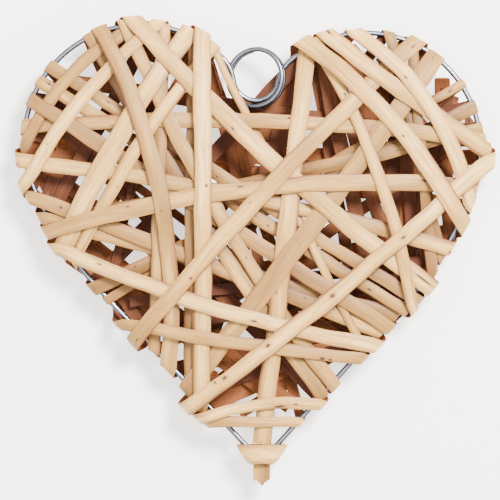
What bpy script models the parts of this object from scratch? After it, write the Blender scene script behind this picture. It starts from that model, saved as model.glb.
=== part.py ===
"""Heart ornament: peeled willow strips wound over a bent steel wire, with a split ring to hang it by.

The heart lies on its back. X runs to the right, Y towards the lobes and Z out of the front face.
All sizes are in metres.
"""
import math

import bmesh
import bpy
import numpy as np
from mathutils import Vector

# Heart wire: two round lobes, two bowed flanks that run straight to the tip, and a notch
LEFT_LOBE_RADIUS = 0.0493
RIGHT_LOBE_RADIUS = 0.0485
LOBE_SPACING = 0.0945
RIGHT_LOBE_RISE = -0.0026
TIP_BELOW_LOBES = 0.1350
TIP_FROM_LEFT_LOBE = 0.0508
LEFT_FLANK_START = math.radians(23.0)
RIGHT_FLANK_START = math.radians(18.0)
LEFT_FLANK_RADIUS = 0.1490
RIGHT_FLANK_RADIUS = 0.1350
WIRE_DIAMETER = 0.0022
NOTCH_FROM_LEFT_LOBE = 0.0484
NOTCH_ARM = 0.0024
LOBE_END_BEND = 0.0050
TIP_BEND = 0.0040
WIRE_POINT_SPACING = 0.0125

# Hanging ring: two turns of wire, one behind the other, linked round the notch of the heart wire
RING_OUTER_DIAMETER = 0.0264
RING_WIRE_DIAMETER = 0.0020
RING_TURNS = 2
RING_POINTS_PER_TURN = 18
RING_ROOM_AT_NOTCH = 0.0005
RING_TILT = math.radians(19.5)
RING_NOD = math.radians(4.0)

# Willow strips
STRIP_THICKNESS = 0.0007
STRIP_CROWN = 0.62
GAP = 0.0003
FRONT_DOME = 0.0040
BACK_DOME = 0.0010
DOME_REACH = 0.034
TAIL_LENGTH = 0.016
STEEPEST_LAY = 2.5
WIDEST_SKEW = 1.4
WRAP_PINCH = 0.80
PINCH_REACH = 0.012
MOST_SHIFT = 0.3
SHORTEST_RUN = 0.012
REST_LAYERS = 1.4
NOTCH_CLEARANCE = 0.036
TIP_CLEARANCE = 0.022
TIP_HOLD_FROM = 95.0
BACK_END_INSIDE = 0.007

# How finely the winding is worked out, and how few flats a strip is drawn with
WIRE_STEP = 0.001
DOME_STRIDE = 3
GRID_CELL = 0.0005
GRID_MARGIN = 0.020
FINE_STEP = 0.0005
ARC_POINTS = 90
MOST_BENDS = 4
LONGEST_FLAT = 0.018
SHORTEST_FLAT = 0.006
FLATTEST_BOW = 0.0015

# A wrap goes round the wire on half an octagon: outward and forward shares of its inner radius
OCTAGON = math.tan(math.pi / 8)
WRAP_CORNERS = [(OCTAGON, 1.0), (1.0, OCTAGON), (1.0, -OCTAGON), (OCTAGON, -1.0)]
WRAP_SIDE = 2 * OCTAGON

# Tip: a strip wound round both ends of the wire, and the cut strip ends that it holds
TIP_WRAP_TOP_WIDTH = 0.0210
TIP_WRAP_BOTTOM_WIDTH = 0.0092
TIP_WRAP_HEIGHT = 0.0078
TIP_WRAP_DEPTH = 0.0090
TIP_WRAP_FLARE = 0.75
TIP_WRAP_LEVELS = 4
TIP_WRAP_SIDES = 16
TIP_WRAP_WALL = 0.0008
TIP_WRAP_BELOW_TIP = 0.0003
TIP_END_COUNT = 3
TIP_END_LENGTH = 0.0076
TIP_END_WIDTH = 0.0020
TIP_END_THICKNESS = 0.0020
TIP_END_TAPER = 0.86
TIP_END_STEP = 0.0012

# Strips in the order they are wound, the innermost first. Each runs over the front from one place on
# the wire to another, given in hundredths of the way from notch to tip, left side negative. Then come
# its width and its sideways bow, in steps of TABLE_STEP, the bow to the left of its run, and how many
# degrees its run behind turns left of the way it would take by itself.
TABLE_STEP = 0.001
WINDING = [
    (35.6, -69.8, 3.8, 0.0, 22),
    (39.3, -67.4, 6.2, 1.0, -12),
    (42.4, -56.5, 5.8, 2.0, 13),
    (23.0, 61.6, 4.6, 0.0, -4),
    (26.2, 64.2, 4.6, 0.0, -2),
    (-55.9, 72.0, 5.8, 0.0, -35),
    (-52.6, 75.0, 6.4, 0.0, -15),
    (-36.6, 70.7, 5.5, 0.0, -22),
    (-34.2, 68.5, 5.5, -0.3, -36),
    (-27.3, 87.4, 6.5, -2.2, -17),
    (-9.9, 78.7, 3.6, 0.0, -16),
    (-17.2, -79.1, 5.3, 0.0, 37),
    (-12.8, -86.2, 5.5, -0.5, 19),
    (-43.1, 44.0, 6.1, 5.0, -24),
    (-20.7, -46.2, 5.5, -6.6, 4),
    (-39.4, 74.0, 6.3, 0.0, -41),
    (-47.7, 60.0, 6.2, 4.2, -44),
    (-22.3, 85.2, 6.0, -5.8, -6),
    (11.2, 96.6, 7.6, 0.0, 0),
    (-10.0, -62.9, 5.6, -3.5, 34),
    (30.3, -85.9, 8.0, 1.0, 36),
    (-13.8, -60.6, 8.2, -3.0, -36),
    (-18.0, -50.6, 5.7, -4.5, -17),
    (-21.1, 65.9, 7.6, -5.0, -30),
    (-57.8, 50.7, 6.8, 9.0, -16),
    (-25.7, -82.1, 6.8, 11.0, 12),
    (-12.0, -88.6, 7.4, 1.0, 30),
    (-73.7, 79.9, 5.4, -1.0, 0),
    (-91.6, 92.3, 4.6, 0.5, -2),
    (-90.4, 88.5, 5.0, 2.5, 0),
    (-60.5, 77.3, 6.4, -4.5, -34),
    (12.5, 69.3, 5.2, 5.5, 36),
    (26.8, -76.2, 7.0, -3.0, 24),
    (14.4, 45.3, 7.0, -1.0, -32),
    (18.3, 53.0, 6.5, 8.5, -44),
    (47.2, -88.0, 6.8, 2.0, -20),
    (11.3, 56.1, 7.4, 6.0, 0),
]


# Strips whose run behind is level over a stretch, given in shares of that run: the heart lies on these
RESTING = {35: (0.40, 0.95), 36: (0.35, 0.90), 37: (0.30, 0.70)}


def clear_scene():
    """Remove what the scene already holds."""
    for old in list(bpy.data.objects):
        bpy.data.objects.remove(old, do_unlink=True)


def make_material(name, colour, roughness, metallic):
    """Return a Principled material."""
    material = bpy.data.materials.new(name)
    material.use_nodes = True
    shader = material.node_tree.nodes["Principled BSDF"]
    shader.inputs["Base Color"].default_value = (*colour, 1.0)
    shader.inputs["Roughness"].default_value = roughness
    shader.inputs["Metallic"].default_value = metallic
    return material


def arc_points(centre, radius, start, end, count):
    """Points along an arc, both ends included."""
    angles = np.linspace(start, end, count)
    return [(centre[0] + radius * math.cos(a), centre[1] + radius * math.sin(a)) for a in angles]


def heart_side(centre, radius, flank_start, flank_radius, bend_centre, bend_radius, tip, sign):
    """Points from the bottom of the notch, round one lobe, along its flank and straight to the tip."""
    turn = -flank_start if sign > 0 else math.pi + flank_start
    notch_end = 0.0 if sign > 0 else -math.pi
    notch = arc_points(bend_centre, bend_radius, -math.pi / 2, notch_end, ARC_POINTS)
    meeting = bend_centre[0] + sign * bend_radius
    lobe_start = math.acos((meeting - centre[0]) / radius)
    lobe = arc_points(centre, radius, lobe_start, turn, ARC_POINTS)
    outward = np.array([math.cos(turn), math.sin(turn)])
    flank_centre = np.array(centre) - (flank_radius - radius) * outward
    to_tip = tip - flank_centre
    lean = math.acos(min(flank_radius / float(np.linalg.norm(to_tip)), 1.0))
    flank_end = math.atan2(to_tip[1], to_tip[0]) + sign * lean
    if sign < 0:
        flank_end %= 2 * math.pi
    flank = arc_points(flank_centre, flank_radius, turn, flank_end, ARC_POINTS)
    return notch, lobe + flank[1:] + [tuple(tip)]


def lobe_height(centre, radius, x):
    """How high the top of one lobe's circle is at a given x."""
    return centre[1] + math.sqrt(radius**2 - (x - centre[0]) ** 2)


class HeartWire:
    """The centre line of the heart wire, as close points with their tangents and outward normals."""

    def __init__(self):
        left = (0.0, 0.0)
        right = (LOBE_SPACING, RIGHT_LOBE_RISE)
        self.tip = np.array([TIP_FROM_LEFT_LOBE, -TIP_BELOW_LOBES])
        bend_radius = ring_radius() - (RING_WIRE_DIAMETER + WIRE_DIAMETER) / 2 - RING_ROOM_AT_NOTCH
        left_arm = lobe_height(left, LEFT_LOBE_RADIUS, NOTCH_FROM_LEFT_LOBE - bend_radius)
        right_arm = lobe_height(right, RIGHT_LOBE_RADIUS, NOTCH_FROM_LEFT_LOBE + bend_radius)
        self.notch = np.array([NOTCH_FROM_LEFT_LOBE, min(left_arm, right_arm) - NOTCH_ARM])
        left_notch, left_side = heart_side(
            left, LEFT_LOBE_RADIUS, LEFT_FLANK_START, LEFT_FLANK_RADIUS,
            self.notch, bend_radius, self.tip, -1)
        right_notch, right_side = heart_side(
            right, RIGHT_LOBE_RADIUS, RIGHT_FLANK_START, RIGHT_FLANK_RADIUS,
            self.notch, bend_radius, self.tip, 1)
        left_end = line_length(left_notch + left_side[:1])
        right_end = line_length(right_notch + right_side[:1])
        left_side = left_notch + left_side
        right_side = right_notch + right_side
        raw = np.array(left_side + right_side[::-1][1:])
        self.left_length = line_length(left_side)
        self.right_length = line_length(right_side)
        self.length = self.left_length + self.right_length
        self.count = int(round(self.length / WIRE_STEP))
        self.step = self.length / self.count
        self.points = resample(raw, self.count)
        self.round_corner(int(round(left_end / self.step)), LOBE_END_BEND)
        self.round_corner(int(round((self.length - right_end) / self.step)), LOBE_END_BEND)
        self.round_corner(int(round(self.left_length / self.step)), TIP_BEND)
        ahead = np.roll(self.points, -1, axis=0)
        behind = np.roll(self.points, 1, axis=0)
        self.tangents = (ahead - behind) / np.linalg.norm(ahead - behind, axis=1)[:, None]
        self.normals = np.column_stack([self.tangents[:, 1], -self.tangents[:, 0]])

    def round_corner(self, index, bend):
        """Replace a sharp corner by a bend that starts a given length before it."""
        reach = int(round(bend / self.step))
        steps = np.arange(-reach, reach + 1)
        before = self.points[(index - reach) % self.count].copy()
        corner = self.points[index % self.count].copy()
        after = self.points[(index + reach) % self.count].copy()
        for step in steps:
            t = (step + reach) / (2 * reach)
            bent = before * (1 - t) ** 2 + corner * 2 * t * (1 - t) + after * t * t
            self.points[(index + step) % self.count] = bent

    def place(self, hundredths):
        """Length along the loop of a place given in hundredths of a side."""
        if hundredths < 0:
            return -hundredths / 100 * self.left_length
        return self.length - hundredths / 100 * self.right_length

    def _read(self, values, along):
        position = along / self.step
        lower = int(math.floor(position))
        share = position - lower
        return values[lower % self.count] * (1 - share) + values[(lower + 1) % self.count] * share

    def point(self, along):
        return self._read(self.points, along)

    def tangent(self, along):
        return self._read(self.tangents, along)

    def normal(self, along):
        return self._read(self.normals, along)

    def hit(self, start, direction):
        """Length along the loop where a ray from inside first meets the wire."""
        ahead = np.roll(self.points, -1, axis=0)
        edges = ahead - self.points
        offsets = self.points - start
        cross = direction[0] * edges[:, 1] - direction[1] * edges[:, 0]
        cross = np.where(np.abs(cross) < 1e-12, 1e-12, cross)
        distance = (offsets[:, 0] * edges[:, 1] - offsets[:, 1] * edges[:, 0]) / cross
        share = (offsets[:, 0] * direction[1] - offsets[:, 1] * direction[0]) / cross
        good = (share >= 0) & (share <= 1) & (distance > SHORTEST_RUN)
        if not good.any():
            return None
        first = int(np.argmin(np.where(good, distance, np.inf)))
        return (first + share[first]) * self.step


def line_length(points):
    """Length of a line of points."""
    return float(np.linalg.norm(np.diff(np.array(points), axis=0), axis=1).sum())


def resample(points, count):
    """Read a line of points at even steps of its length, leaving out its end."""
    lengths = np.concatenate([[0.0], np.cumsum(np.linalg.norm(np.diff(points, axis=0), axis=1))])
    at = np.arange(count) / count * lengths[-1]
    return np.column_stack([np.interp(at, lengths, points[:, k]) for k in (0, 1)])


class Pile:
    """How far one face is already covered, measured from the wire's plane on a square grid."""

    def __init__(self, wire, dome):
        low = wire.points.min(axis=0) - GRID_MARGIN
        high = wire.points.max(axis=0) + GRID_MARGIN
        self.low = low
        columns, rows = np.ceil((high - low) / GRID_CELL).astype(int) + 1
        x = low[0] + np.arange(columns) * GRID_CELL
        y = low[1] + np.arange(rows) * GRID_CELL
        grid = np.stack(np.meshgrid(x, y), axis=-1)
        nearest = np.full(grid.shape[:2], np.inf)
        for point in wire.points[::DOME_STRIDE]:
            nearest = np.minimum(nearest, np.hypot(grid[..., 0] - point[0], grid[..., 1] - point[1]))
        depth = np.clip(nearest / DOME_REACH, 0.0, 1.0)
        inside = inside_loop(grid, wire.points)
        self.top = np.where(inside, dome * (1 - (1 - depth) ** 2), 0.0)
        self.top = np.where(nearest < WIRE_DIAMETER / 2 + GRID_CELL, WIRE_DIAMETER / 2, self.top)
        self.settle()

    def settle(self):
        """Widen what is covered by one cell each way, so that a reading is never too low."""
        wide = self.top.copy()
        for dx in (-1, 0, 1):
            for dy in (-1, 0, 1):
                wide = np.maximum(wide, np.roll(np.roll(self.top, dx, axis=1), dy, axis=0))
        self.guard = wide

    def cells(self, points):
        index = np.rint((np.asarray(points) - self.low) / GRID_CELL).astype(int)
        columns = np.clip(index[..., 0], 0, self.top.shape[1] - 1)
        rows = np.clip(index[..., 1], 0, self.top.shape[0] - 1)
        return rows, columns

    def height(self, points):
        return self.guard[self.cells(points)]

    def cover(self, points, height):
        np.maximum.at(self.top, self.cells(points), height)


def inside_loop(grid, loop):
    """Which points of a grid lie inside a closed line."""
    x, y = grid[..., 0], grid[..., 1]
    inside = np.zeros(x.shape, dtype=bool)
    following = np.roll(loop, -1, axis=0)
    for (x0, y0), (x1, y1) in zip(loop, following):
        if y0 == y1:
            continue
        crosses = (y0 > y) != (y1 > y)
        inside ^= crosses & (x < (x1 - x0) * (y - y0) / (y1 - y0) + x0)
    return inside


def taut_profile(shares, needed):
    """The tightest line that bends only downwards and stays over all the needed heights."""
    hull = []
    for point in zip(shares, needed):
        while len(hull) >= 2:
            (x0, y0), (x1, y1) = hull[-2], hull[-1]
            if (x1 - x0) * (point[1] - y0) - (y1 - y0) * (point[0] - x0) < 0:
                break
            hull.pop()
        hull.append(point)
    return hull


def fewer_bends(hull, most):
    """Drop the sides of a taut profile that matter least, by running their neighbours on to meet."""
    hull = list(hull)
    while len(hull) - 2 > most:
        best = None
        for i in range(1, len(hull) - 2):
            meeting = lines_meet(hull[i - 1], hull[i], hull[i + 2], hull[i + 1])
            if meeting is None:
                continue
            span = (meeting[0] - hull[i][0]) / (hull[i + 1][0] - hull[i][0])
            side = hull[i][1] + (hull[i + 1][1] - hull[i][1]) * span
            added = meeting[1] - side
            if best is None or added < best[0]:
                best = (added, i, meeting)
        if best is None:
            return hull
        hull[best[1]:best[1] + 2] = [best[2]]
    return hull


def lines_meet(a, b, c, d):
    """Where the line a to b, run on, meets the line c to d, run on."""
    slope_one = (b[1] - a[1]) / (b[0] - a[0])
    slope_two = (d[1] - c[1]) / (d[0] - c[0])
    if abs(slope_one - slope_two) < 1e-9:
        return None
    x = (c[1] - a[1] + slope_one * a[0] - slope_two * c[0]) / (slope_one - slope_two)
    if not b[0] - 1e-9 <= x <= d[0] + 1e-9:
        return None
    return x, a[1] + slope_one * (x - a[0])


class Run:
    """One straight or slightly bowed stretch of a strip over a face, between two pairs of edge points."""

    def __init__(self, start, end, bow=0.0, pinched=(True, False)):
        self.start = start
        self.end = end
        middle = (end[0] + end[1] - start[0] - start[1]) / 2
        self.length = float(np.linalg.norm(middle))
        self.bow = bow
        self.sideways = np.array([-middle[1], middle[0]]) / self.length
        self.pinched = pinched
        self.count = max(int(self.length / FINE_STEP), 4)
        self.shares = np.linspace(0.0, 1.0, self.count + 1)

    def swell(self, share):
        """How much wider the strip is there than where the wire pinches it."""
        clear = 1.0
        for held, away in zip(self.pinched, (share, 1 - share)):
            if held:
                clear = min(clear, away * self.length / PINCH_REACH)
        return 1 + (1 / WRAP_PINCH - 1) * clear

    def edges(self, share):
        swing = self.sideways * (self.bow * 4 * share * (1 - share))
        first = self.start[0] * (1 - share) + self.end[0] * share + swing
        second = self.start[1] * (1 - share) + self.end[1] * share + swing
        middle = (first + second) / 2
        return middle + (first - middle) * self.swell(share), middle + (second - middle) * self.swell(share)

    def spots(self):
        """Close points over the whole strip, one row for each share of its length."""
        widths = [np.linalg.norm(ends[0] - ends[1]) for ends in (self.start, self.end)]
        width = max(widths) / WRAP_PINCH
        across = np.linspace(0.0, 1.0, max(int(width / FINE_STEP), 2) + 1)
        rows = []
        for share in self.shares:
            first, second = self.edges(share)
            rows.append(first + (second - first) * across[:, None])
        return np.array(rows)

    def needed(self, pile):
        return pile.height(self.spots()).max(axis=1) + GAP

    def end_height(self, pile, end=0):
        """The least height at one end from which a strip can climb over all that lies ahead."""
        distance = self.shares * self.length
        if end == 1:
            distance = distance[::-1]
        return float((self.needed(pile) - STEEPEST_LAY * distance).max())

    def lay(self, pile, first_height, last_height=None, level=None):
        """Draw the strip taut over the pile and over any level stretch, and add it to the pile."""
        needed = self.needed(pile)
        if level is not None:
            low, high, height = level
            resting = (self.shares >= low) & (self.shares <= high)
            needed = np.where(resting, np.maximum(needed, height), needed)
        needed[0] = first_height
        if last_height is not None:
            needed[-1] = last_height
        hull = fewer_bends(taut_profile(self.shares, needed), MOST_BENDS)
        bends = [point[0] for point in hull]
        spaces = max(int(round(self.length / LONGEST_FLAT)), 1)
        if abs(self.bow) < FLATTEST_BOW:
            spaces = max(spaces // 2, 1)
        for share in np.linspace(0.0, 1.0, spaces + 1):
            if min(abs(share - bend) for bend in bends) * self.length > SHORTEST_FLAT:
                bends.append(float(share))
        bends.sort()
        heights = np.interp(bends, [p[0] for p in hull], [p[1] for p in hull])
        top = np.interp(self.shares, bends, heights) + STRIP_THICKNESS
        spots = self.spots()
        pile.cover(spots, np.repeat(top[:, None], spots.shape[1], axis=1))
        pile.settle()
        self.stations = [(*self.edges(share), height) for share, height in zip(bends, heights)]
        return self


class Winder:
    """Keeps the wire, both faces and the wraps round the wire while the strips are wound on."""

    def __init__(self, wire):
        self.wire = wire
        self.front = Pile(wire, FRONT_DOME)
        self.back = Pile(wire, BACK_DOME)
        self.girth = np.full(wire.count, WIRE_DIAMETER / 2)

    def stretch(self, low, high):
        """Indices of the wire's points over a stretch of it."""
        first = int(math.floor((low - GRID_CELL) / self.wire.step))
        last = int(math.ceil((high + GRID_CELL) / self.wire.step))
        return np.arange(first, last + 1) % self.wire.count

    def girth_over(self, low, high):
        return float(self.girth[self.stretch(low, high)].max()) + GAP

    def add_wrap(self, low, high, radius):
        """Add one wrap to the girth."""
        reach = self.stretch(low, high)
        self.girth[reach] = np.maximum(self.girth[reach], radius + STRIP_THICKNESS)

    def cover_wrap(self, pile, low, high, radius):
        """Add the half of a wrap that lies on one face to that face."""
        outer = radius + STRIP_THICKNESS
        spread = np.arange(0.0, outer, FINE_STEP)[:, None]
        for index in self.stretch(low, high):
            pile.cover(self.wire.points[index] + self.wire.normals[index] * spread, outer)
        pile.settle()

    def half_width(self, along, direction, width):
        slant = abs(cross_2d(self.wire.tangent(along), direction))
        return WRAP_PINCH * width / 2 * min(1 / max(slant, 1e-6), WIDEST_SKEW)

    def shift_rate(self, along, direction):
        """How far the strip moves along the wire for each unit that it goes round it."""
        outward = float(direction @ self.wire.normal(along))
        rate = float(direction @ self.wire.tangent(along)) / max(abs(outward), 1e-6)
        return max(-MOST_SHIFT, min(MOST_SHIFT, rate))

    def corner(self, along, radius, number):
        """One corner of a wrap: its place in plan and its height, for the given inner radius."""
        across, height = WRAP_CORNERS[number]
        point = self.wire.point(along) + self.wire.normal(along) * (radius * across)
        return np.array([point[0], point[1], radius * height])


def cross_2d(a, b):
    return float(a[0] * b[1] - a[1] * b[0])


def reflect(direction, wire, along):
    """The strip's direction after it has gone round the wire."""
    tangent = wire.tangent(along)
    normal = wire.normal(along)
    bounced = tangent * float(direction @ tangent) - normal * float(direction @ normal)
    return bounced / np.linalg.norm(bounced)


class Wrap:
    """A strip's way round the wire at one place, from the front face to the back face."""

    def __init__(self, winder, along, direction, width, side):
        self.winder = winder
        self.along = along
        self.direction = direction
        half = winder.half_width(along, direction, width)
        leftward = np.array([-direction[1], direction[0]])
        sign = 1.0 if float(winder.wire.tangent(along) @ leftward) * side > 0 else -1.0
        self.half = half * sign
        self.rate = winder.shift_rate(along, direction)
        self.radius = winder.girth_over(along - half, along + half)
        self.grow(0.0)

    def grow(self, *heights):
        """Take on the largest of the given heights and of what the wrap has to clear."""
        self.radius = max(self.radius, *heights)
        self.radius = max(self.radius, self.winder.girth_over(*self.span()))

    def middle(self, number):
        return self.along + WRAP_SIDE * self.radius * self.rate * number

    def span(self, first=0, last=3):
        places = [self.middle(number) + sign * self.half for number in (first, last) for sign in (-1, 1)]
        return min(places), max(places)

    def plan_edges(self, number):
        """The two edge points in plan at one corner of the wrap."""
        low = self.winder.corner(self.middle(number) + self.half, self.radius, number)
        high = self.winder.corner(self.middle(number) - self.half, self.radius, number)
        return low[:2], high[:2]

    def section(self, number):
        """Inner and outer edge points at one corner."""
        outer = self.radius + STRIP_THICKNESS
        rows = []
        for radius in (self.radius, outer):
            rows.append(self.winder.corner(self.middle(number) + self.half, radius, number))
            rows.append(self.winder.corner(self.middle(number) - self.half, radius, number))
        return rows

    def close(self):
        self.winder.add_wrap(*self.span(), self.radius)
        self.winder.cover_wrap(self.winder.front, *self.span(0, 1), self.radius)
        self.winder.cover_wrap(self.winder.back, *self.span(2, 3), self.radius)


def run_sections(run, face):
    """Inner and outer edge points of a laid run, for the front (1) or the back (-1)."""
    sections = []
    for first, second, height in run.stations:
        inner = face * height
        outer = face * (height + STRIP_THICKNESS)
        sections.append([
            np.array([first[0], first[1], inner]), np.array([second[0], second[1], inner]),
            np.array([first[0], first[1], outer]), np.array([second[0], second[1], outer]),
        ])
    return sections


def wind_strip(winder, start, end, width, bow, turn, level=None):
    """Wind one strip: a tail behind its start, the run over the front, and the run back behind."""
    wire = winder.wire
    first_place = wire.place(start)
    last_place = wire.place(end)
    direction = wire.point(last_place) - wire.point(first_place)
    chord = float(np.linalg.norm(direction))
    direction /= chord
    lean = math.atan2(4 * bow, chord)
    turn_in = np.array([[math.cos(lean), -math.sin(lean)], [math.sin(lean), math.cos(lean)]])
    setting_out = turn_in @ direction
    coming_in = turn_in.T @ direction
    first = Wrap(winder, first_place, -setting_out, width, -1)
    last = Wrap(winder, last_place, coming_in, width, 1)

    tail_way = reflect(-setting_out, wire, first_place)
    back_way = reflect(coming_in, wire, last_place)
    behind_end = back_end(winder, last, back_way, turn, width)

    settled = 0.0
    while settled < first.radius + last.radius:
        settled = first.radius + last.radius
        over = Run(first.plan_edges(0), last.plan_edges(0), bow, (True, True))
        tail_start = first.plan_edges(3)
        tail = Run(tail_start, [edge + tail_way * TAIL_LENGTH for edge in tail_start])
        behind = Run(last.plan_edges(3), behind_end)
        first.grow(over.end_height(winder.front), tail.end_height(winder.back))
        last.grow(over.end_height(winder.front, 1), behind.end_height(winder.back))

    tail.lay(winder.back, first.radius)
    over.lay(winder.front, first.radius, last.radius)
    first.close()
    last.close()
    behind.lay(winder.back, last.radius, level=level)
    return (
        run_sections(tail, -1)[::-1][:-1]
        + [first.section(number) for number in (3, 2, 1, 0)]
        + run_sections(over, 1)[1:-1]
        + [last.section(number) for number in (0, 1, 2, 3)]
        + run_sections(behind, -1)[1:]
    )


def back_end(winder, last, back_way, turn, width):
    """The two edge points where a strip ends behind, inside the wire across from its last wrap."""
    wire = winder.wire
    start = wire.point(last.middle(3))
    angle = math.atan2(back_way[1], back_way[0]) + turn
    place = wire.hit(start, np.array([math.cos(angle), math.sin(angle)]))
    point = wire.point(clear_of_corners(wire, place))
    way = (point - start) / np.linalg.norm(point - start)
    point = point - way * BACK_END_INSIDE
    across = np.array([-way[1], way[0]]) * (WRAP_PINCH * width / 2)
    if cross_2d(way, last.plan_edges(3)[0] - last.plan_edges(3)[1]) < 0:
        across = -across
    return [point + across, point - across]


def clear_of_corners(wire, along):
    """Keep a place on the wire away from the notch and from the tip."""
    along %= wire.length
    corners = ((0.0, NOTCH_CLEARANCE), (wire.left_length, TIP_CLEARANCE), (wire.length, NOTCH_CLEARANCE))
    for corner, clearance in corners:
        if abs(along - corner) < clearance:
            return corner + math.copysign(clearance, along - corner)
    return along


def lay_tip_strip(winder, start, width):
    """Lay the strip that runs down the front and ends above the tip wrap, with a tail behind its start."""
    wire = winder.wire
    first_place = wire.place(start)
    foot = wire.tip + np.array([0.0, TIP_WRAP_HEIGHT - TIP_WRAP_BELOW_TIP + GAP])
    direction = foot - wire.point(first_place)
    direction /= np.linalg.norm(direction)
    first = Wrap(winder, first_place, -direction, width, -1)
    tail_way = reflect(-direction, wire, first_place)
    across = np.array([WRAP_PINCH * width / 2, 0.0])
    settled = 0.0
    while settled < first.radius:
        settled = first.radius
        over = Run(first.plan_edges(0), [foot + across, foot - across])
        tail_start = first.plan_edges(3)
        tail = Run(tail_start, [edge + tail_way * TAIL_LENGTH for edge in tail_start])
        first.grow(over.end_height(winder.front), tail.end_height(winder.back))
    tail.lay(winder.back, first.radius)
    over.lay(winder.front, first.radius)
    first.close()
    return (
        run_sections(tail, -1)[::-1][:-1]
        + [first.section(number) for number in (3, 2, 1, 0)]
        + run_sections(over, 1)[1:]
    )


def ring_radius():
    """From the ring's middle to the middle of its wire."""
    return (RING_OUTER_DIAMETER - RING_WIRE_DIAMETER) / 2


def ring_line(wire):
    """Points along the hanging ring, a flat coil round the bend of the notch, tilted so that it links it."""
    radius = ring_radius()
    pitch = RING_WIRE_DIAMETER + GAP
    centre = np.array([wire.notch[0], wire.notch[1], 0.0])
    steps = RING_TURNS * RING_POINTS_PER_TURN
    points = []
    for step in range(steps):
        angle = 2 * math.pi * (step + 0.5) / RING_POINTS_PER_TURN + math.pi / 2
        depth = pitch * (step / (steps - 1) - 0.5) * RING_TURNS
        x = radius * math.cos(angle)
        y = radius * math.sin(angle) * math.cos(RING_NOD) + depth * math.sin(RING_NOD)
        z = depth * math.cos(RING_NOD) - radius * math.sin(angle) * math.sin(RING_NOD)
        points.append(centre + np.array([
            x * math.cos(RING_TILT) - z * math.sin(RING_TILT),
            y,
            x * math.sin(RING_TILT) + z * math.cos(RING_TILT),
        ]))
    return np.array(points)


def keep_clear_of_ring(winder, points):
    """Make the strips pass in front of the ring's raised side and behind its lowered side."""
    limb = RING_WIRE_DIAMETER / 2
    for start, end in zip(points, points[1:]):
        steps = max(int(np.linalg.norm(end - start) / FINE_STEP), 1)
        for share in np.linspace(0.0, 1.0, steps + 1):
            spot = start + (end - start) * share
            for dx in np.arange(-limb, limb + FINE_STEP, FINE_STEP):
                place = spot[:2] + np.array([dx, 0.0])
                if spot[2] > -limb:
                    winder.front.cover(place, spot[2] + limb)
                if spot[2] < limb:
                    winder.back.cover(place, limb - spot[2])
    winder.front.settle()
    winder.back.settle()


def tube(name, points, diameter, cyclic, material, collection):
    """A round wire along a line of points."""
    curve = bpy.data.curves.new(name, "CURVE")
    curve.dimensions = "3D"
    curve.bevel_depth = diameter / 2
    curve.bevel_resolution = 2
    curve.use_fill_caps = not cyclic
    spline = curve.splines.new("POLY")
    spline.points.add(len(points) - 1)
    for control, point in zip(spline.points, points):
        z = point[2] if len(point) == 3 else 0.0
        control.co = (point[0], point[1], z, 1.0)
    spline.use_cyclic_u = cyclic
    curve.materials.append(material)
    piece = bpy.data.objects.new(name, curve)
    collection.objects.link(piece)
    return piece


def strip_piece(name, sections, material, collection):
    """A strip through its sections: a flat ribbon, pushed out to its thickness, narrower on the outside."""
    spaces = len(sections) - 1
    mesh = bmesh.new()
    bmesh.ops.create_grid(mesh, x_segments=spaces, y_segments=1, size=1.0)
    under = {vert: grid_place(vert, spaces) for vert in mesh.verts}
    grown = bmesh.ops.extrude_face_region(mesh, geom=mesh.faces[:])
    outer = [item for item in grown["geom"] if isinstance(item, bmesh.types.BMVert)]
    for vert in outer:
        number, edge = grid_place(vert, spaces)
        crowned = sections[number][2 + edge] - sections[number][3 - edge]
        middle = (sections[number][2] + sections[number][3]) / 2
        vert.co = Vector(middle + crowned / 2 * STRIP_CROWN)
    for vert in set(mesh.verts) - set(outer):
        number, edge = under[vert]
        vert.co = Vector(sections[number][edge])
    bmesh.ops.triangulate(mesh, faces=mesh.faces[:], quad_method="BEAUTY")
    bmesh.ops.recalc_face_normals(mesh, faces=mesh.faces[:])
    if mesh.calc_volume(signed=True) < 0:
        bmesh.ops.reverse_faces(mesh, faces=mesh.faces[:])
    data = bpy.data.meshes.new(name)
    mesh.to_mesh(data)
    mesh.free()
    data.materials.append(material)
    piece = bpy.data.objects.new(name, data)
    collection.objects.link(piece)
    return piece


def grid_place(vert, spaces):
    """Which section and which edge a corner of the flat grid stands for."""
    return int(round((vert.co.x + 1) / 2 * spaces)), int(vert.co.y > 0)


def tip_wrap_piece(wire, material, collection):
    """The strip wound round both ends of the wire: a short tapered sleeve, open above and below."""
    mesh = bmesh.new()
    rings = []
    for share in np.linspace(0.0, 1.0, TIP_WRAP_LEVELS):
        flare = share**TIP_WRAP_FLARE
        width = TIP_WRAP_BOTTOM_WIDTH + (TIP_WRAP_TOP_WIDTH - TIP_WRAP_BOTTOM_WIDTH) * flare
        height = wire.tip[1] - TIP_WRAP_BELOW_TIP + TIP_WRAP_HEIGHT * share
        ring = []
        for side in range(TIP_WRAP_SIDES):
            angle = 2 * math.pi * side / TIP_WRAP_SIDES
            x = wire.tip[0] + width / 2 * math.cos(angle)
            z = TIP_WRAP_DEPTH / 2 * math.sin(angle)
            ring.append(mesh.verts.new((x, height, z)))
        rings.append(ring)
    for low, high in zip(rings, rings[1:]):
        for side in range(TIP_WRAP_SIDES):
            following = (side + 1) % TIP_WRAP_SIDES
            mesh.faces.new((low[side], low[following], high[following], high[side]))
    bmesh.ops.recalc_face_normals(mesh, faces=mesh.faces[:])
    data = bpy.data.meshes.new("tip_wrap")
    mesh.to_mesh(data)
    mesh.free()
    data.materials.append(material)
    piece = bpy.data.objects.new("tip_wrap", data)
    collection.objects.link(piece)
    wall = piece.modifiers.new("wall", "SOLIDIFY")
    wall.thickness = TIP_WRAP_WALL
    wall.offset = -1.0
    return piece


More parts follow.
